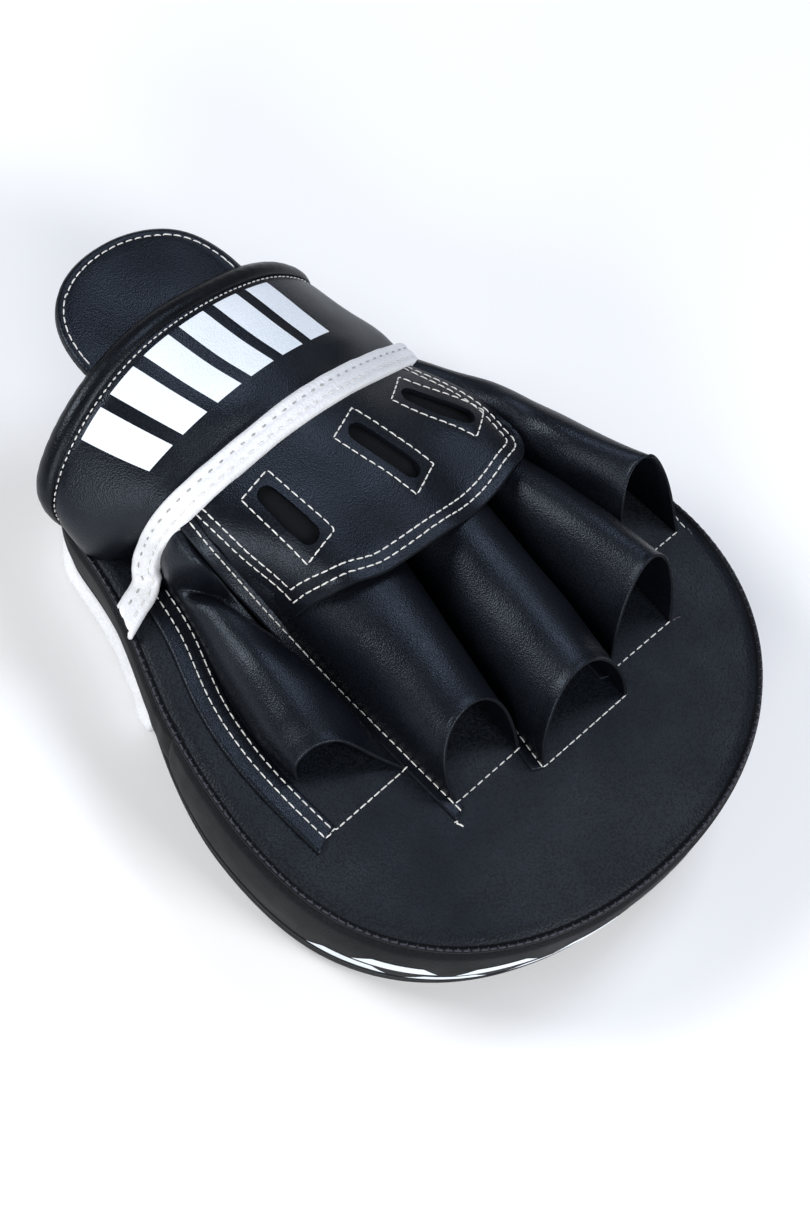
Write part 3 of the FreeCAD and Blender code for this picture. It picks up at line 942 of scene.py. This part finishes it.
def vent_outline(vent, width, length, rounded):
    """(u, y) outline of a vent or its stitched box."""
    x, y, turn, scale = vent
    width, length = width * scale, length * scale
    if rounded:
        angles = np.linspace(0, math.pi, 9)
        half = (length - width) / 2
        arc = np.column_stack([np.cos(angles), np.sin(angles)]) * width / 2
        corners = np.vstack([arc + [0, half], -arc - [0, half]])
    else:
        corners = np.array([(1, -1), (1, 1), (-1, 1), (-1, -1), (1, -1)]) * [width / 2, length / 2]
    turn = math.radians(turn)
    centre_u = hand_u(x, y)
    steps = hand_at(np.array([centre_u - 0.01, centre_u + 0.01]), y)
    slope = (steps[1, 0] - steps[0, 0]) / np.linalg.norm(steps[1] - steps[0])
    across, along = corners[:, 0] * slope, corners[:, 1]
    xs = x + across * math.cos(turn) - along * math.sin(turn)
    ys = y + across * math.sin(turn) + along * math.cos(turn)
    return np.column_stack([[hand_u(a, b) for a, b in zip(xs, ys)], ys])


def cut(obj, cutter):
    """Takes the cutter out of the object."""
    modifier = obj.modifiers.new("cut", "BOOLEAN")
    modifier.operation = "DIFFERENCE"
    modifier.solver = "EXACT"
    modifier.object = cutter
    mesh = bpy.data.meshes.new_from_object(obj.evaluated_get(bpy.context.evaluated_depsgraph_get()))
    obj.modifiers.clear()
    obj.data = mesh
    bpy.data.objects.remove(cutter)


def vent_cutter(vent):
    outline = vent_outline(vent, VENT_WIDTH, VENT_LENGTH, True)
    top, low = (hand_at(outline[:, 0], outline[:, 1], lift) for lift in (VENT_CUT, -VENT_CUT))
    count = len(outline)
    faces = grid_faces(2, count, closed=True) + [tuple(range(count))[::-1], tuple(range(count, 2 * count))]
    return make_solid("cutter", np.vstack([low, top]), faces, smooth=False)


def make_cover():
    rows = [on_cover(cover_edge(inset)) for inset in (STITCH_INSET, STITCH_INSET + STITCH_ROW_GAP)]
    boxes = [on_cover(vent_outline(vent, VENT_BOX_WIDTH, VENT_BOX_LENGTH, False), 60) for vent in VENTS]
    front, back = cover_rails(150)
    share = np.linspace(0, 1, 66)[:, None, None]
    flat = back[None] + (front - back)[None] * share
    grid = hand_at(flat[..., 0], flat[..., 1])
    lift = knuckles(grid) + 0.35 * value_noise(grid, 17.0, 11) + 0.8 * smoothstep(0.85, 1, share[..., 0])
    pattern = grid + grid_normals(grid) * lift[..., None]
    sewn = pins(pattern, first_row=1, first_column=0.7, last_column=0.9)
    grid = relax(pattern, sewn, pressure=1.5, reach=0.8)
    grid = dent(grid, rows + boxes, depth=0.28, width=1.0)
    # The threads are laid on the top side alone, so none is drawn to the rim
    top = make_mesh("cover_top", grid.reshape(-1, 3), grid_faces(*grid.shape[:2]))
    sewing = surface_tree(top)
    bpy.data.objects.remove(top)
    cover = thick_sheet("hand_cover_leather", grid, COVER_THICKNESS)
    for vent in VENTS:
        cut(cover, vent_cutter(vent))
    recalculate_normals(cover, 50)
    finish_piece(cover, BLACK, ["hand_cover"])
    cloth_sheet(cover, pattern, [stitching("cover_stitches", sewing, rows + boxes)])


def make_hand_shell():
    """The glove's own leather under the cover, and the mesh behind the vents."""
    u = np.linspace(0, 1, 110)
    front, _ = cover_rails(60)
    front_y = np.interp(u, front[:, 0], front[:, 1]) - 4.5
    y = HAND_BACK_Y + (front_y - HAND_BACK_Y)[None] * np.linspace(0, 1, 50)[:, None]
    grid = hand_at(u[None], y)
    lower = smoothstep(0.0, 0.2, u) * smoothstep(1.0, 0.9, u)
    grid = grid - grid_normals(grid) * (0.9 + 2.3 * lower)[None, :, None]
    cloth_sheet(sheet_piece("hand_shell_leather", grid, LEATHER_THICKNESS, BLACK, ["hand_shell"]), grid)
    v = np.linspace(0.06, 0.62, 30)[:, None]
    u = np.linspace(0.12, 0.93, 90)[None]
    grid = HAND.at(u, v, -2.35)
    cloth_sheet(sheet_piece("vent_mesh_cloth", grid, 0.5, MESH_CLOTH, ["vent_mesh"]), grid)


# ---- finger sleeves

SLEEVE_LEATHER = 1.15
FOOT_Z = PANEL_Z + 0.7
# Stations of a sleeve: foot x low, foot x high, y, height, crest shift, lean back, fullness
SLEEVES = {
    "index": [(8.0, 38.6, 25, 23.5, 0.5, 0.72, 0.6), (2.5, 39.0, -12, 26, 1, 0, 0.62),
              (-4.5, 39.6, -46, 26, 0, 0, 0.6), (-8.0, 41.5, -62, 26, 0, 0, 0.6)],
    "middle": [(-33.8, 7.0, 34.5, 27.5, 0.7, 0.44, 1.12), (-37.0, 1.0, -5, 27, 0.5, 0, 0.85),
               (-40.0, -5.5, -47.5, 26, 0, 0, 0.65)],
    "ring": [(-65.2, -34.3, 25.5, 33, -6, 0.43, 1.1), (-66.5, -38.5, -8, 30, -2, 0, 0.85),
             (-61.5, -40.0, -47.5, 21, 0, 0, 0.6)],
}
LITTLE_MOUTH = (-91.3, -65.5, 4.4, 27, -5.5, 0.8, 0.75)
LITTLE_MIDDLE = (-88.5, -66.5, -24, 27.5, -2.0, 0, 0.68)
# The little finger's leather runs on as a band along the far side of the hand
LITTLE_LINES = {
    -95.0: [(-62.6, 42.6), (-61.3, 50.2), (-56.5, 55.2), (-52, 55.6), (-46, 58)],
    -84.0: [(-68.2, 42.6), (-67.0, 51.5), (-61.5, 57.6), (-57, 57.2), (-50, 59)],
    -72.0: [(-74.5, 42.6), (-73.3, 53.5), (-68.3, 60.4), (-63.5, 60.6), (-58, 58.5), (-50, 58)],
    -59.0: [(-79.5, 42.6), (-78.5, 54), (-73.5, 62.6), (-67.8, 64.2), (-62.5, 59.0), (-57, 53)],
    -47.5: [(-82.5, 42.6), (-81.8, 55), (-77.3, 63.8), (-71, 66.3), (-65, 62.0), (-61.5, 53), (-61.5, 42.6)],
}
# The thumb's leather is one piece from the binding to its mouth, as {position along: points}
THUMB_LINES = {
    -96.0: [(53.0, -95.5, 74), (55.8, -95.5, 71.5), (57.6, -95.5, 66), (58.2, -95.5, 57),
            (57.6, -95.5, 42.6)],
    -90.0: [(54.2, -90.5, 72), (57.0, -90.5, 72), (59.8, -90.5, 68), (60.6, -90.5, 58), (57.6, -90, 42.8)],
    -84.0: [(54.0, -84, 68.3), (56.6, -84, 69.5), (60.0, -86, 66), (61.4, -87, 56), (58.0, -87, 42.8)],
    -78.5: [(52.2, -78, 63.3), (54.6, -78, 64), (57.6, -80, 59.5), (60.2, -83.5, 52), (58.7, -84, 42.8)],
    -75.5: [(50.8, -73.5, 58.3), (52.4, -74, 55.0), (55.6, -77.6, 52.5), (59.3, -81.5, 50.5),
            (59.2, -81, 42.8)],
    -71.0: [(49.4, -70, 54.8), (51.2, -70, 52.3), (56.3, -73.5, 54.5), (60.3, -76, 53.0), (60.2, -76, 42.8)],
    -64.0: [(47.8, -64, 51.2), (49.5, -64, 50.6), (54.5, -66, 57.5), (60.5, -68.5, 57), (63, -70, 52),
            (61.6, -70.5, 42.8)],
    -50.0: [(44.4, -50, 44.8), (46, -50, 49.5), (53, -51, 58.5), (61.5, -52, 60.5), (67.6, -53, 54),
            (67.4, -54, 42.8)],
    -34.0: [(43.2, -34, 42.8), (45, -34, 51), (54, -34, 60), (64.5, -35, 61), (71.3, -36, 54),
            (71.8, -36, 42.8)],
    -16.0: [(42.6, -16, 42.8), (46, -18, 51), (55, -21, 58.2), (65.5, -24, 60.2), (72.8, -26, 54),
            (73.4, -26, 42.8)],
    0.0: [(42.0, 6.5, 42.8), (46.5, 1.6, 46), (51.6, -3.7, 50.4), (56.2, -8.5, 54.4), (59.7, -11.6, 56.7),
          (63, -13.4, 57.5), (66.5, -14.8, 57.2), (70.4, -15.3, 55.1), (73.2, -14.9, 51.5),
          (73.6, -13.8, 48), (72.6, -12.6, 43.0)],
}


def arch(low, high, y, height, shift, lean, fullness):
    """Section of a sleeve from its little-finger foot to its thumb foot."""
    angle = np.pi * np.linspace(1, 0, 17)
    rise = np.sin(angle).clip(0, 1)
    lift = height * rise ** fullness
    x = (low + high) / 2 + (high - low) / 2 * np.cos(angle) + shift * rise
    return np.column_stack([x, y - lean * lift, FOOT_Z + lift])


def sleeve_sheet(name, lines, nodes, seed, rows=90):
    """Leather through the lines, sewn down along both sides and free at its mouth."""
    columns = 64
    grid = loft(lines, columns, rows)
    free = np.sin(np.pi * np.linspace(0, 1, columns)[None]) ** 0.5
    pattern = grid
    grid = grid + grid_normals(grid) * (0.5 * value_noise(grid, 15.0, seed) * free)[..., None]
    sewn = pins(grid, first_row=1, first_column=1, last_column=1)
    grid = relax(grid, sewn, pressure=2.5, reach=1.3)
    lip = smoothstep(0.93, 1.0, np.linspace(0, 1, rows)[:, None]) * free
    grid = grid + grid_normals(grid) * (0.5 * lip)[..., None]
    cloth_sheet(sheet_piece(name, grid, SLEEVE_LEATHER, BLACK, nodes), pattern)


def make_sleeves():
    for seed, (finger, stations) in enumerate(SLEEVES.items()):
        lines = {station[2]: arch(*station) for station in sorted(stations, key=lambda station: station[2])}
        sleeve_sheet(finger + "_sleeve_leather", lines, [finger + "_sleeve"], seed + 21)
    lines = upright(LITTLE_LINES)
    for station in (LITTLE_MIDDLE, LITTLE_MOUTH):
        lines[station[2]] = arch(*station)
    sleeve_sheet("little_sleeve_leather", lines, ["little_sleeve"], 25, rows=110)
    sleeve_sheet("thumb_leather", THUMB_LINES, ["thumb_sleeve", "thumb_web"], 31, rows=110)


def strip(name, inner, outer):
    """A flat strip of seam allowance between two rails."""
    rows = 90
    inner, outer = spline(inner, rows), spline(outer, rows)
    share = np.linspace(0, 1, 9)[None, :, None]
    grid = inner[:, None] * (1 - share) + outer[:, None] * share
    grid = grid + 0.15 * value_noise(grid, 7.0, 41)[..., None] * grid_normals(grid)
    if grid_normals(grid)[rows // 2, 4, 2] < 0:
        grid = grid[:, ::-1]
    return sheet_piece(name, grid, 1.0, BLACK)


HEM_Z = PANEL_Z + 1.25
INDEX_HEM_INNER = [(51.0, -94.5, 76.5), (49.8, -82.2, 71.2), (45.8, -73.1, 62.2), (42.6, -63.1, 54.4),
                   (39.9, -53.1, 48.2), (38.5, -42.4, 44.6), (38.3, -34.9, 43.6), (38.0, -10, HEM_Z),
                   (37.3, 28, HEM_Z)]
INDEX_HEM_OUTER = [(55.5, -94.5, 74.3), (54.3, -82.2, 69.6), (50.3, -73.1, 60.2), (47.0, -63.1, 52.4),
                   (44.3, -53.1, 46.6), (43.1, -42.4, 44.0), (42.9, -34.9, HEM_Z + 0.1), (42.6, -10, HEM_Z),
                   (42.0, 29.5, HEM_Z - 0.1)]
INDEX_ROW_SHARE = 0.33
THUMB_ROW = [(59, -87), (63, -70), (70, -52), (75, -31), (76, -7.5), (75.5, 6)]
THUMB_ROW_2 = [(62.6, -88.5), (66.6, -71.3), (73.6, -53.3), (78.8, -31.6), (79.8, -7.5), (79.3, 7)]
THUMB_HEM_EDGE = [(67.0, -90), (71.2, -72.8), (78.2, -54.8), (83.6, -32.2), (84.8, -7.5), (84.3, 9.5)]

# Straight rows at the finger mouths, and two at the little finger's outer foot
SHORT_ROWS = [((41, 6.5), (79.3, 7.2)), ((7.6, 25), (38.6, 25.3)), ((-34.2, 34.4), (7.4, 34.8)),
              ((-65, 25.5), (-33.8, 25.5)), ((-91.5, 4.4), (-65, 4.4)), ((-91.5, 4.4), (-93.5, -4)),
              ((-94.3, 5.2), (-95.3, -1))]


def flat(points, z=HEM_Z):
    return [(x, y, z) for x, y in points]


def make_hems():
    """Seam allowances beside the sleeves."""
    rails = {
        "index_hem": (INDEX_HEM_INNER, INDEX_HEM_OUTER),
        "thumb_hem": (flat([(x - 1.5, y) for x, y in THUMB_ROW]), flat(THUMB_HEM_EDGE)),
        "middle_hem": (flat([(-5, -36), (0.5, 0), (6.3, 35)]), flat([(0, -36), (5.0, 0), (10.6, 33)])),
        "ring_hem": (flat([(-38, -20), (-36, 5), (-34.8, 27)]), flat([(-34, -20), (-32, 5), (-30.6, 25)])),
    }
    return [strip(name, inner, outer) for name, (inner, outer) in rails.items()]


def make_sleeve_stitches(panel, hems):
    """The white rows that sew the sleeves down, and the thread ends at the finger mouths."""
    tree = surface_tree(panel, *hems)
    rows = [
        spline(flat(THUMB_ROW), 150), spline(flat(THUMB_ROW_2), 150),
        spline(INDEX_HEM_INNER, 200) * (1 - INDEX_ROW_SHARE) + spline(INDEX_HEM_OUTER, 200) * INDEX_ROW_SHARE,
        spline(flat([(-4.3, -36), (1.6, 0), (7.3, 34.8)]), 80),
        spline(flat([(-37, -20), (-35.2, 5), (-33.8, 25.5)]), 50),
    ]
    for start, end in SHORT_ROWS:
        rows.append(flat([start, end]))
    stitching("sleeve_stitches", tree, rows)
    ends = [flat([(43.0, 29.6), (41.6, 32.4)])]
    stitching("loose_end", tree, ends, pitch=1.6, length=2.2, width=0.7, jitter=0.6)
    ends = [flat([(-65.3, 25.8), (-68.6, 26.6)], PANEL_Z), flat([(-94.8, 5.4), (-94.2, 8.4)], PANEL_Z)]
    stitching("dark_loose_ends", tree, ends, DARK_THREAD, pitch=1.7, length=2.3, width=0.6, jitter=0.6)


# ---- cuff

CUFF_FRONT_LINE = [(-61.5, 42), (-60, 50), (-53, 57), (-39, 66.5), (-17, 78), (4, 83.4), (24, 82.4),
                   (40, 79.3), (51.5, 74.8), (58, 66.5), (59, 56), (59, 42)]
# y on the panel, lean back per mm of height, skew per mm of x, and (x, z) points
CUFF_LINES = [
    (-128.0, 0.36, 0.09, [(-50, 42), (-52, 51), (-45.5, 61.5), (-32, 72.5), (-12, 82), (10, 88.5),
                          (32, 90.5), (51, 86), (66.5, 75.5), (75, 60), (67.5, 42)]),
    (-112.0, 0.17, 0.05, [(-56.5, 42), (-56, 52), (-49, 60.5), (-36, 70.5), (-15, 80.5), (8, 86), (30, 87),
                          (48, 82), (61, 72.5), (68.5, 58), (67.5, 42)]),
    (-102.0, 0.0, 0.0, CUFF_FRONT_LINE),
    (-94.0, 0.0, 0.0, CUFF_FRONT_LINE),
]
CUFF_DEPTH = 8.5
CUFF_SEAM_V = 0.045
CUFF_HELD_ROWS = 18
ROLL_RADIUS = 2.8
ROLL_TURN = (-42, 205)


def leaning(line):
    y, lean, skew, points = line
    return [(x, y - lean * (z - PANEL_Z) + skew * x, z) for x, z in points]


def make_cuff():
    grid = loft({line[0]: leaning(line) for line in CUFF_LINES}, 190, 60)
    rows, columns = grid.shape[:2]
    sewn = pins(grid, first_row=1, last_row=1, first_column=1, last_column=1)
    sewn[-CUFF_HELD_ROWS:] = 1
    settled = relax(grid, sewn, pressure=3.5, reach=1.6, cells=(20, 40))
    share = np.linspace(0, 1, rows)[:, None]
    creases = 0.9 * value_noise(settled * [0.5, 1.0, 0.5], 9.0, 91) * np.exp(-((share - 0.66) / 0.13) ** 2)
    swell = 1.1 * np.exp(-((share - 0.62) / 0.16) ** 2) + 0.5 * value_noise(settled, 24.0, 92)
    edges = smoothstep(0.0, 0.08, share) * smoothstep(0.0, 0.06, np.linspace(0, 1, columns))[None]
    settled = settled + grid_normals(settled) * ((creases + swell) * edges)[..., None]
    groove = Surface(settled).at(np.linspace(0, 1, 300), CUFF_SEAM_V)
    settled = dent(settled, [groove], depth=0.6, width=1.5)
    surface = Surface(settled)
    shell = sheet_piece("cuff_leather", settled, 2.0, BLACK, ["cuff_shell", "cuff_foam"])
    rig.padded(shell, fill=0.7)
    u, v = np.linspace(0, 1, 150)[None], np.linspace(0, 1, 40)[:, None]
    lining_grid = Surface(grid).at(u, v, 1.0 - CUFF_DEPTH)
    cloth_sheet(sheet_piece("cuff_lining_cloth", lining_grid, 1.0, LINING, ["cuff_lining"]), lining_grid)
    make_roll(surface)
    path = surface.at(np.linspace(0.02, 0.98, 400), CUFF_SEAM_V, 0.5)
    stitching("cuff_stitches", surface_tree(shell), [path], pitch=2.5, length=1.8, width=0.5)
    return surface


def make_roll(surface):
    """Rolled edge round the wrist opening."""
    u = np.linspace(0, 1, 200)
    edge = surface.at(u, 0.0)
    back = unit(edge - surface.at(u, 0.06))
    normal = unit(edge - surface.at(u, 0.0, -1.0))
    centre = edge - normal * (ROLL_RADIUS - 0.4) + back * 1.3
    radius = ROLL_RADIUS * (1 + 0.04 * value_noise(centre, 13.0, 51))[:, None]
    rows = []
    for degrees in np.linspace(*ROLL_TURN, 22):
        angle = math.radians(degrees)
        rows.append(centre + (normal * math.cos(angle) + back * math.sin(angle)) * radius)
    roll = sheet_piece("cuff_roll", np.array(rows), 1.1, GLOSS, ["cuff_edge_roll"])
    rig.padded(roll, fill=0.8)


# Where the prints lie across (u) and along (v) their surfaces
CUFF_BLOCKS = 6
CUFF_PRINT_U = (0.245, 0.785)
CUFF_PRINT_V = (0.085, 0.56)
WALL_DASHES = 4
WALL_PRINT_START, WALL_PRINT_RUN = 0.185, 0.34
WALL_PRINT_V = [(0.04, 0.24), (0.32, 0.52)]


def printed(name, surface, lift, patches):
    """White print laid on a surface, from (u, v) grids."""
    verts, faces = [], []
    for u, v in patches:
        faces += grid_faces(*u.shape, offset=len(verts))
        verts += list(surface.at(u, v, lift).reshape(-1, 3))
    finish_piece(make_mesh(name, np.array(verts), faces), PRINT)


def make_print(surface):
    """Plain upright blocks printed along the cuff, in front of its roll."""
    run = CUFF_PRINT_U[1] - CUFF_PRINT_U[0]
    patches = []
    for block in range(CUFF_BLOCKS):
        start = CUFF_PRINT_U[0] + run * block / CUFF_BLOCKS
        across = np.linspace(start, start + run / CUFF_BLOCKS * 0.7, 16)
        patches.append(np.meshgrid(across, np.linspace(*CUFF_PRINT_V, 30)))
    printed("cuff_blocks", surface, 0.12, patches)


def make_wall_print(wall):
    """Two rows of plain slanted dashes printed on the wall round the tip."""
    patches = []
    for row, (low, high) in enumerate(WALL_PRINT_V):
        for dash in range(WALL_DASHES):
            start = WALL_PRINT_START + WALL_PRINT_RUN * (dash + 0.45 * row) / WALL_DASHES
            across = np.linspace(start, start + WALL_PRINT_RUN / WALL_DASHES * 0.82, 40)
            u, v = np.meshgrid(across, np.linspace(0, 1, 5))
            share = (u - u.min()) / np.ptp(u)
            taper = np.minimum(1, 5 * share) * np.minimum(1, 5 * (1 - share))
            patches.append((u, low + (high - low) * (v * taper + 0.25 * share)))
    printed("wall_dashes", wall, 0.15, patches)


# ---- binding

BINDING_BACK_Y = -101.7
BINDING_FRONT_Y = -91.4
BINDING_SLANT = 3.8
BINDING_TAIL = [(60.4, -95.4, 50), (62.2, -92.8, 46.2), (65.5, -90.4, 44.6), (70, -88.9, 44.2),
                (77.6, -86.4, 43.6)]


def make_binding():
    """White band over the joint of cover and cuff, with a tail to the rim at the thumb side."""
    arch_line = [(x, (BINDING_BACK_Y + BINDING_FRONT_Y) / 2, z) for x, z in CUFF_FRONT_LINE[:-1]]
    middle = spline(arch_line + BINDING_TAIL, 260)
    along = unit(np.gradient(middle, axis=0))
    out = np.cross(along, np.array([0, 1.0, 0]))
    out[:, 1] = 0
    out = unit(out)
    out *= np.sign((out * (middle - [5, -96, 30])).sum(1))[:, None]
    tail = smoothstep(60.5, 64, middle[:, 0]) * (middle[:, 2] < 52)
    out = unit(out * (1 - tail[:, None]) + UP * tail[:, None])
    forward = np.cross(out, along)
    forward *= np.sign(forward[:, 1:2])
    half = (BINDING_FRONT_Y - BINDING_BACK_Y) / 2 * (1 - 0.08 * tail)
    half *= 1 + 0.03 * value_noise(middle, 16.0, 61)
    run = arc_length(middle)
    slant = BINDING_SLANT * smoothstep(run[-1] - 14, run[-1], run)
    grid = []
    for share in np.linspace(-1, 1, 15):
        crown = 2.5 * (1 - abs(share) ** 6) ** 0.5 + 0.25
        crown -= 0.55 * math.exp(-((share - 0.42) / 0.13) ** 2) + 0.5 * math.exp(-((share + 0.3) / 0.13) ** 2)
        grid.append(middle + forward * (half * share)[:, None] + along * (slant * share)[:, None]
                    + out * crown)
    grid = np.array(grid)
    grid = grid + grid_normals(grid) * 0.12 * value_noise(grid, 5.0, 63)[..., None]
    band = sheet_piece("wrist_binding_leather", grid, LEATHER_THICKNESS, WHITE, ["wrist_binding"])
    tree = surface_tree(band)
    back, front = (Surface(grid).at(np.linspace(0.06, 0.985, 500), v, 0.4) for v in (0.35, 0.71))
    stitching("binding_stitches", tree, [back], GREY_THREAD, pitch=4.6, length=2.0, width=0.5)
    stitching("binding_stitches_front", tree, [front], pitch=4.2, length=3.0, width=0.55)


# ---- tab, grip and rim thread

TAB_X, TAB_Y, TAB_Z = 11.5, -150.0, 80.5
TAB_TILT = math.tan(math.radians(6))
TAB_HALF = [(35.5, 7.0), (35.5, 0.0), (34.2, -7.5), (30.8, -15.0), (24.3, -22.0), (14.5, -27.2), (0.0, -29.3)]
TAB_THICKNESS = 3.2
TAB_STITCH_INSET = 2.6
# Where the tab starts and ends its bend, in metres
TAB_BEND_Y = (-0.1475, -0.1535)


def tab_outline(inset, count):
    line = spline(TAB_HALF + [(-x, y) for x, y in reversed(TAB_HALF[:-1])], 90)
    line = parallel(line, inset) + [TAB_X, TAB_Y]
    return spaced(line if inset else np.vstack([line, line[:1]]), count)


def tab_place(points, lift):
    x, y = points[..., 0], points[..., 1]
    z = TAB_Z + (x - TAB_X) * TAB_TILT + lift + 0.9 * value_noise(np.stack([x, y, x * 0], -1), 22.0, 71)
    return np.stack([x, y, z], -1)


def make_tab():
    outline = tab_outline(0, 180)[:-1]
    rings, columns = 26, len(outline)
    grid = patch_grid(outline, rings, (TAB_X, TAB_Y - 12))
    share = np.linspace(0, 1, rings)[:, None]
    crown = TAB_THICKNESS / 2 * smoothstep(-0.08, 0.06, share) + 0.35 * smoothstep(0.05, 0.4, share)
    top, low = tab_place(grid, crown), tab_place(grid, -crown)
    top[..., 2] -= 0.3 * np.exp(-((share - 0.12) / 0.04) ** 2)
    size = rings * columns
    verts = np.concatenate([top.reshape(-1, 3), low.reshape(-1, 3)])
    faces = capped_faces(rings, columns) + [face[::-1] for face in capped_faces(rings, columns, size)]
    verts = close_rim(verts, faces, list(range(columns)), size, 1.2)
    tab = make_solid("pull_tab_leather", verts, faces)
    tab.data.materials.append(BLACK)
    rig.slot(tab, "black_leather")
    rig.replaces(tab, "tab_leather", "tab_backing")
    path = tab_place(tab_outline(TAB_STITCH_INSET, 300)[12:-12], 2.2)
    back_tacks = [path[:14], path[-14:]]
    threads = stitching("tab_stitches", surface_tree(tab), [path] + back_tacks, body="pull_tab")
    threads.parent = None
    start, end = ((TAB_X * MM, y, TAB_Z * MM) for y in TAB_BEND_Y)
    for obj in (tab, threads):
        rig.blend(obj, "root", "pull_tab", start=start, end=end)


GRIP_X, GRIP_Y = 4, -72
GRIP_RADIUS, GRIP_HEIGHT = 22.0, 10.6


def make_grip():
    """Stuffed dome that the palm closes on, with its base sewn to the panel."""
    angle = np.linspace(0, 2 * math.pi, 72, endpoint=False)[None]
    share = np.linspace(0, 0.98, 24)[:, None]
    radius = GRIP_RADIUS * (1 - share)
    height = GRIP_HEIGHT * (1 - (1 - share) ** 2.6) ** 0.75
    x, y = GRIP_X + radius * np.cos(angle), GRIP_Y + radius * np.sin(angle)
    grid = np.stack([x, y, PANEL_Z + 0.4 + height + 0 * angle], -1)
    grid[..., 2] += 0.35 * value_noise(grid, 9.0, 81) * smoothstep(0.05, 0.3, share)
    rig.padded(capped_piece("palm_grip_leather", grid, PANEL, ["palm_grip"]), fill=0.8)


def make_rim_stitches():
    """Thread along the rim seam, and the short ticks that cross it to the panel."""
    line, inner = pad_ring(1.25, RIM_Z - 0.35), pad_ring(2.6, RIM_Z)
    seam, panel = bpy.data.objects["rim_seam"], bpy.data.objects["back_panel_leather"]
    stitching("rim_stitches", surface_tree(seam), [np.vstack([line, line[:1]])], RIM_THREAD, pitch=2.9,
              length=2.6, width=0.55)
    ticks = [[line[i], inner[i] * 0.7 + line[i] * 0.3] for i in range(0, EDGE_COUNT, 2)]
    stitching("rim_ticks", surface_tree(panel, seam), ticks, RIM_THREAD, pitch=2.0, length=1.3, width=0.42)


panel_leather = make_pad()
wall_surface = make_walls()
make_beads()
make_rim_stitches()
make_hand_shell()
make_cover()
make_sleeves()
make_sleeve_stitches(panel_leather, make_hems())
make_print(make_cuff())
make_wall_print(wall_surface)
make_binding()
make_tab()
make_grip()


# ---- floor, light and camera

# From here on in metres
FLOOR_HALF_SIZE = 3.0
FLOOR_GAP = 0.0005
CAMERA_AZIMUTH, CAMERA_TILT, CAMERA_ROLL = (math.radians(a) for a in (17.41, 29.67, 30.16))
CAMERA_DISTANCE = 1.300
CAMERA_TARGET = np.array([0, 0, 0.042])
CAMERA_AIM = (-0.01875, 0.01815)
LENS_MM, SENSOR_MM = 121.06, 36.0


def make_floor():
    corners = np.array([(-1, -1, 0), (1, -1, 0), (1, 1, 0), (-1, 1, 0)]) * FLOOR_HALF_SIZE
    obj = make_mesh("floor", corners / MM, [(0, 1, 2, 3)], smooth=False)
    obj.data.transform(Matrix.Translation((0, 0, cad_box[0][2] - FLOOR_GAP)))
    obj.data.materials.append(plain_floor())
    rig.stage(obj)


def area_light(name, place, target, size, power, colour):
    data = bpy.data.lights.new(name, "AREA")
    data.energy = power
    data.color = colour
    data.size = size
    obj = add_object(name, data)
    obj.location = place
    obj.rotation_euler = (Vector(target) - Vector(place)).to_track_quat("-Z", "Y").to_euler()


def make_camera():
    """A long lens from the thumb side and above, with a roll, aimed a little beside its target."""
    flat_reach = math.sin(CAMERA_TILT)
    back = np.array([flat_reach * math.cos(CAMERA_AZIMUTH), flat_reach * math.sin(CAMERA_AZIMUTH),
                     math.cos(CAMERA_TILT)])
    up = UP - back * back[2]
    up /= np.linalg.norm(up)
    right = np.cross(up, back)
    cos, sin = math.cos(CAMERA_ROLL), math.sin(CAMERA_ROLL)
    right, up = (right * cos + up * sin, -right * sin + up * cos)
    forward = CAMERA_AIM[0] * right + CAMERA_AIM[1] * up - back
    back_aimed = -forward / np.linalg.norm(forward)
    right = right - back_aimed * right.dot(back_aimed)
    right /= np.linalg.norm(right)
    up = np.cross(back_aimed, right)
    data = bpy.data.cameras.new("camera")
    data.sensor_width = SENSOR_MM
    data.lens = LENS_MM
    obj = add_object("camera", data)
    turn = Matrix((right, up, back_aimed)).transposed()
    obj.matrix_world = Matrix.Translation(CAMERA_TARGET + back * CAMERA_DISTANCE) @ turn.to_4x4()
    scene.camera = obj


make_floor()
make_camera()
scene.view_settings.view_transform = "Standard"
world = bpy.data.worlds.new("studio")
world.use_nodes = True
background = world.node_tree.nodes["Background"]
background.inputs["Color"].default_value = (0.93, 0.95, 1.0, 1)
background.inputs["Strength"].default_value = 0.10
scene.world = world
OVERHEAD_COLOUR, SIDE_COLOUR = (0.74, 0.82, 1.0), (0.97, 0.98, 1.0)
area_light("overhead", (-0.80, -0.24, 1.45), (0, 0, 0.04), 0.6, 8.5, OVERHEAD_COLOUR)
area_light("wrist_side", (0.75, -1.05, 0.95), (0, -0.05, 0.04), 0.6, 17.0, SIDE_COLOUR)
area_light("tip_side", (-0.15, 1.35, 0.95), (0, 0, 0.04), 0.6, 17.0, SIDE_COLOUR)
area_light("thumb_side", (1.3, 0.85, 0.75), (0, 0, 0.04), 0.8, 15.0, SIDE_COLOUR)

with open("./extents.json", "w") as size_file:
    json.dump({"cad": [list(map(float, c)) for c in cad_box],
               "visual": [list(map(float, c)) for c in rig.bounds()]}, size_file)
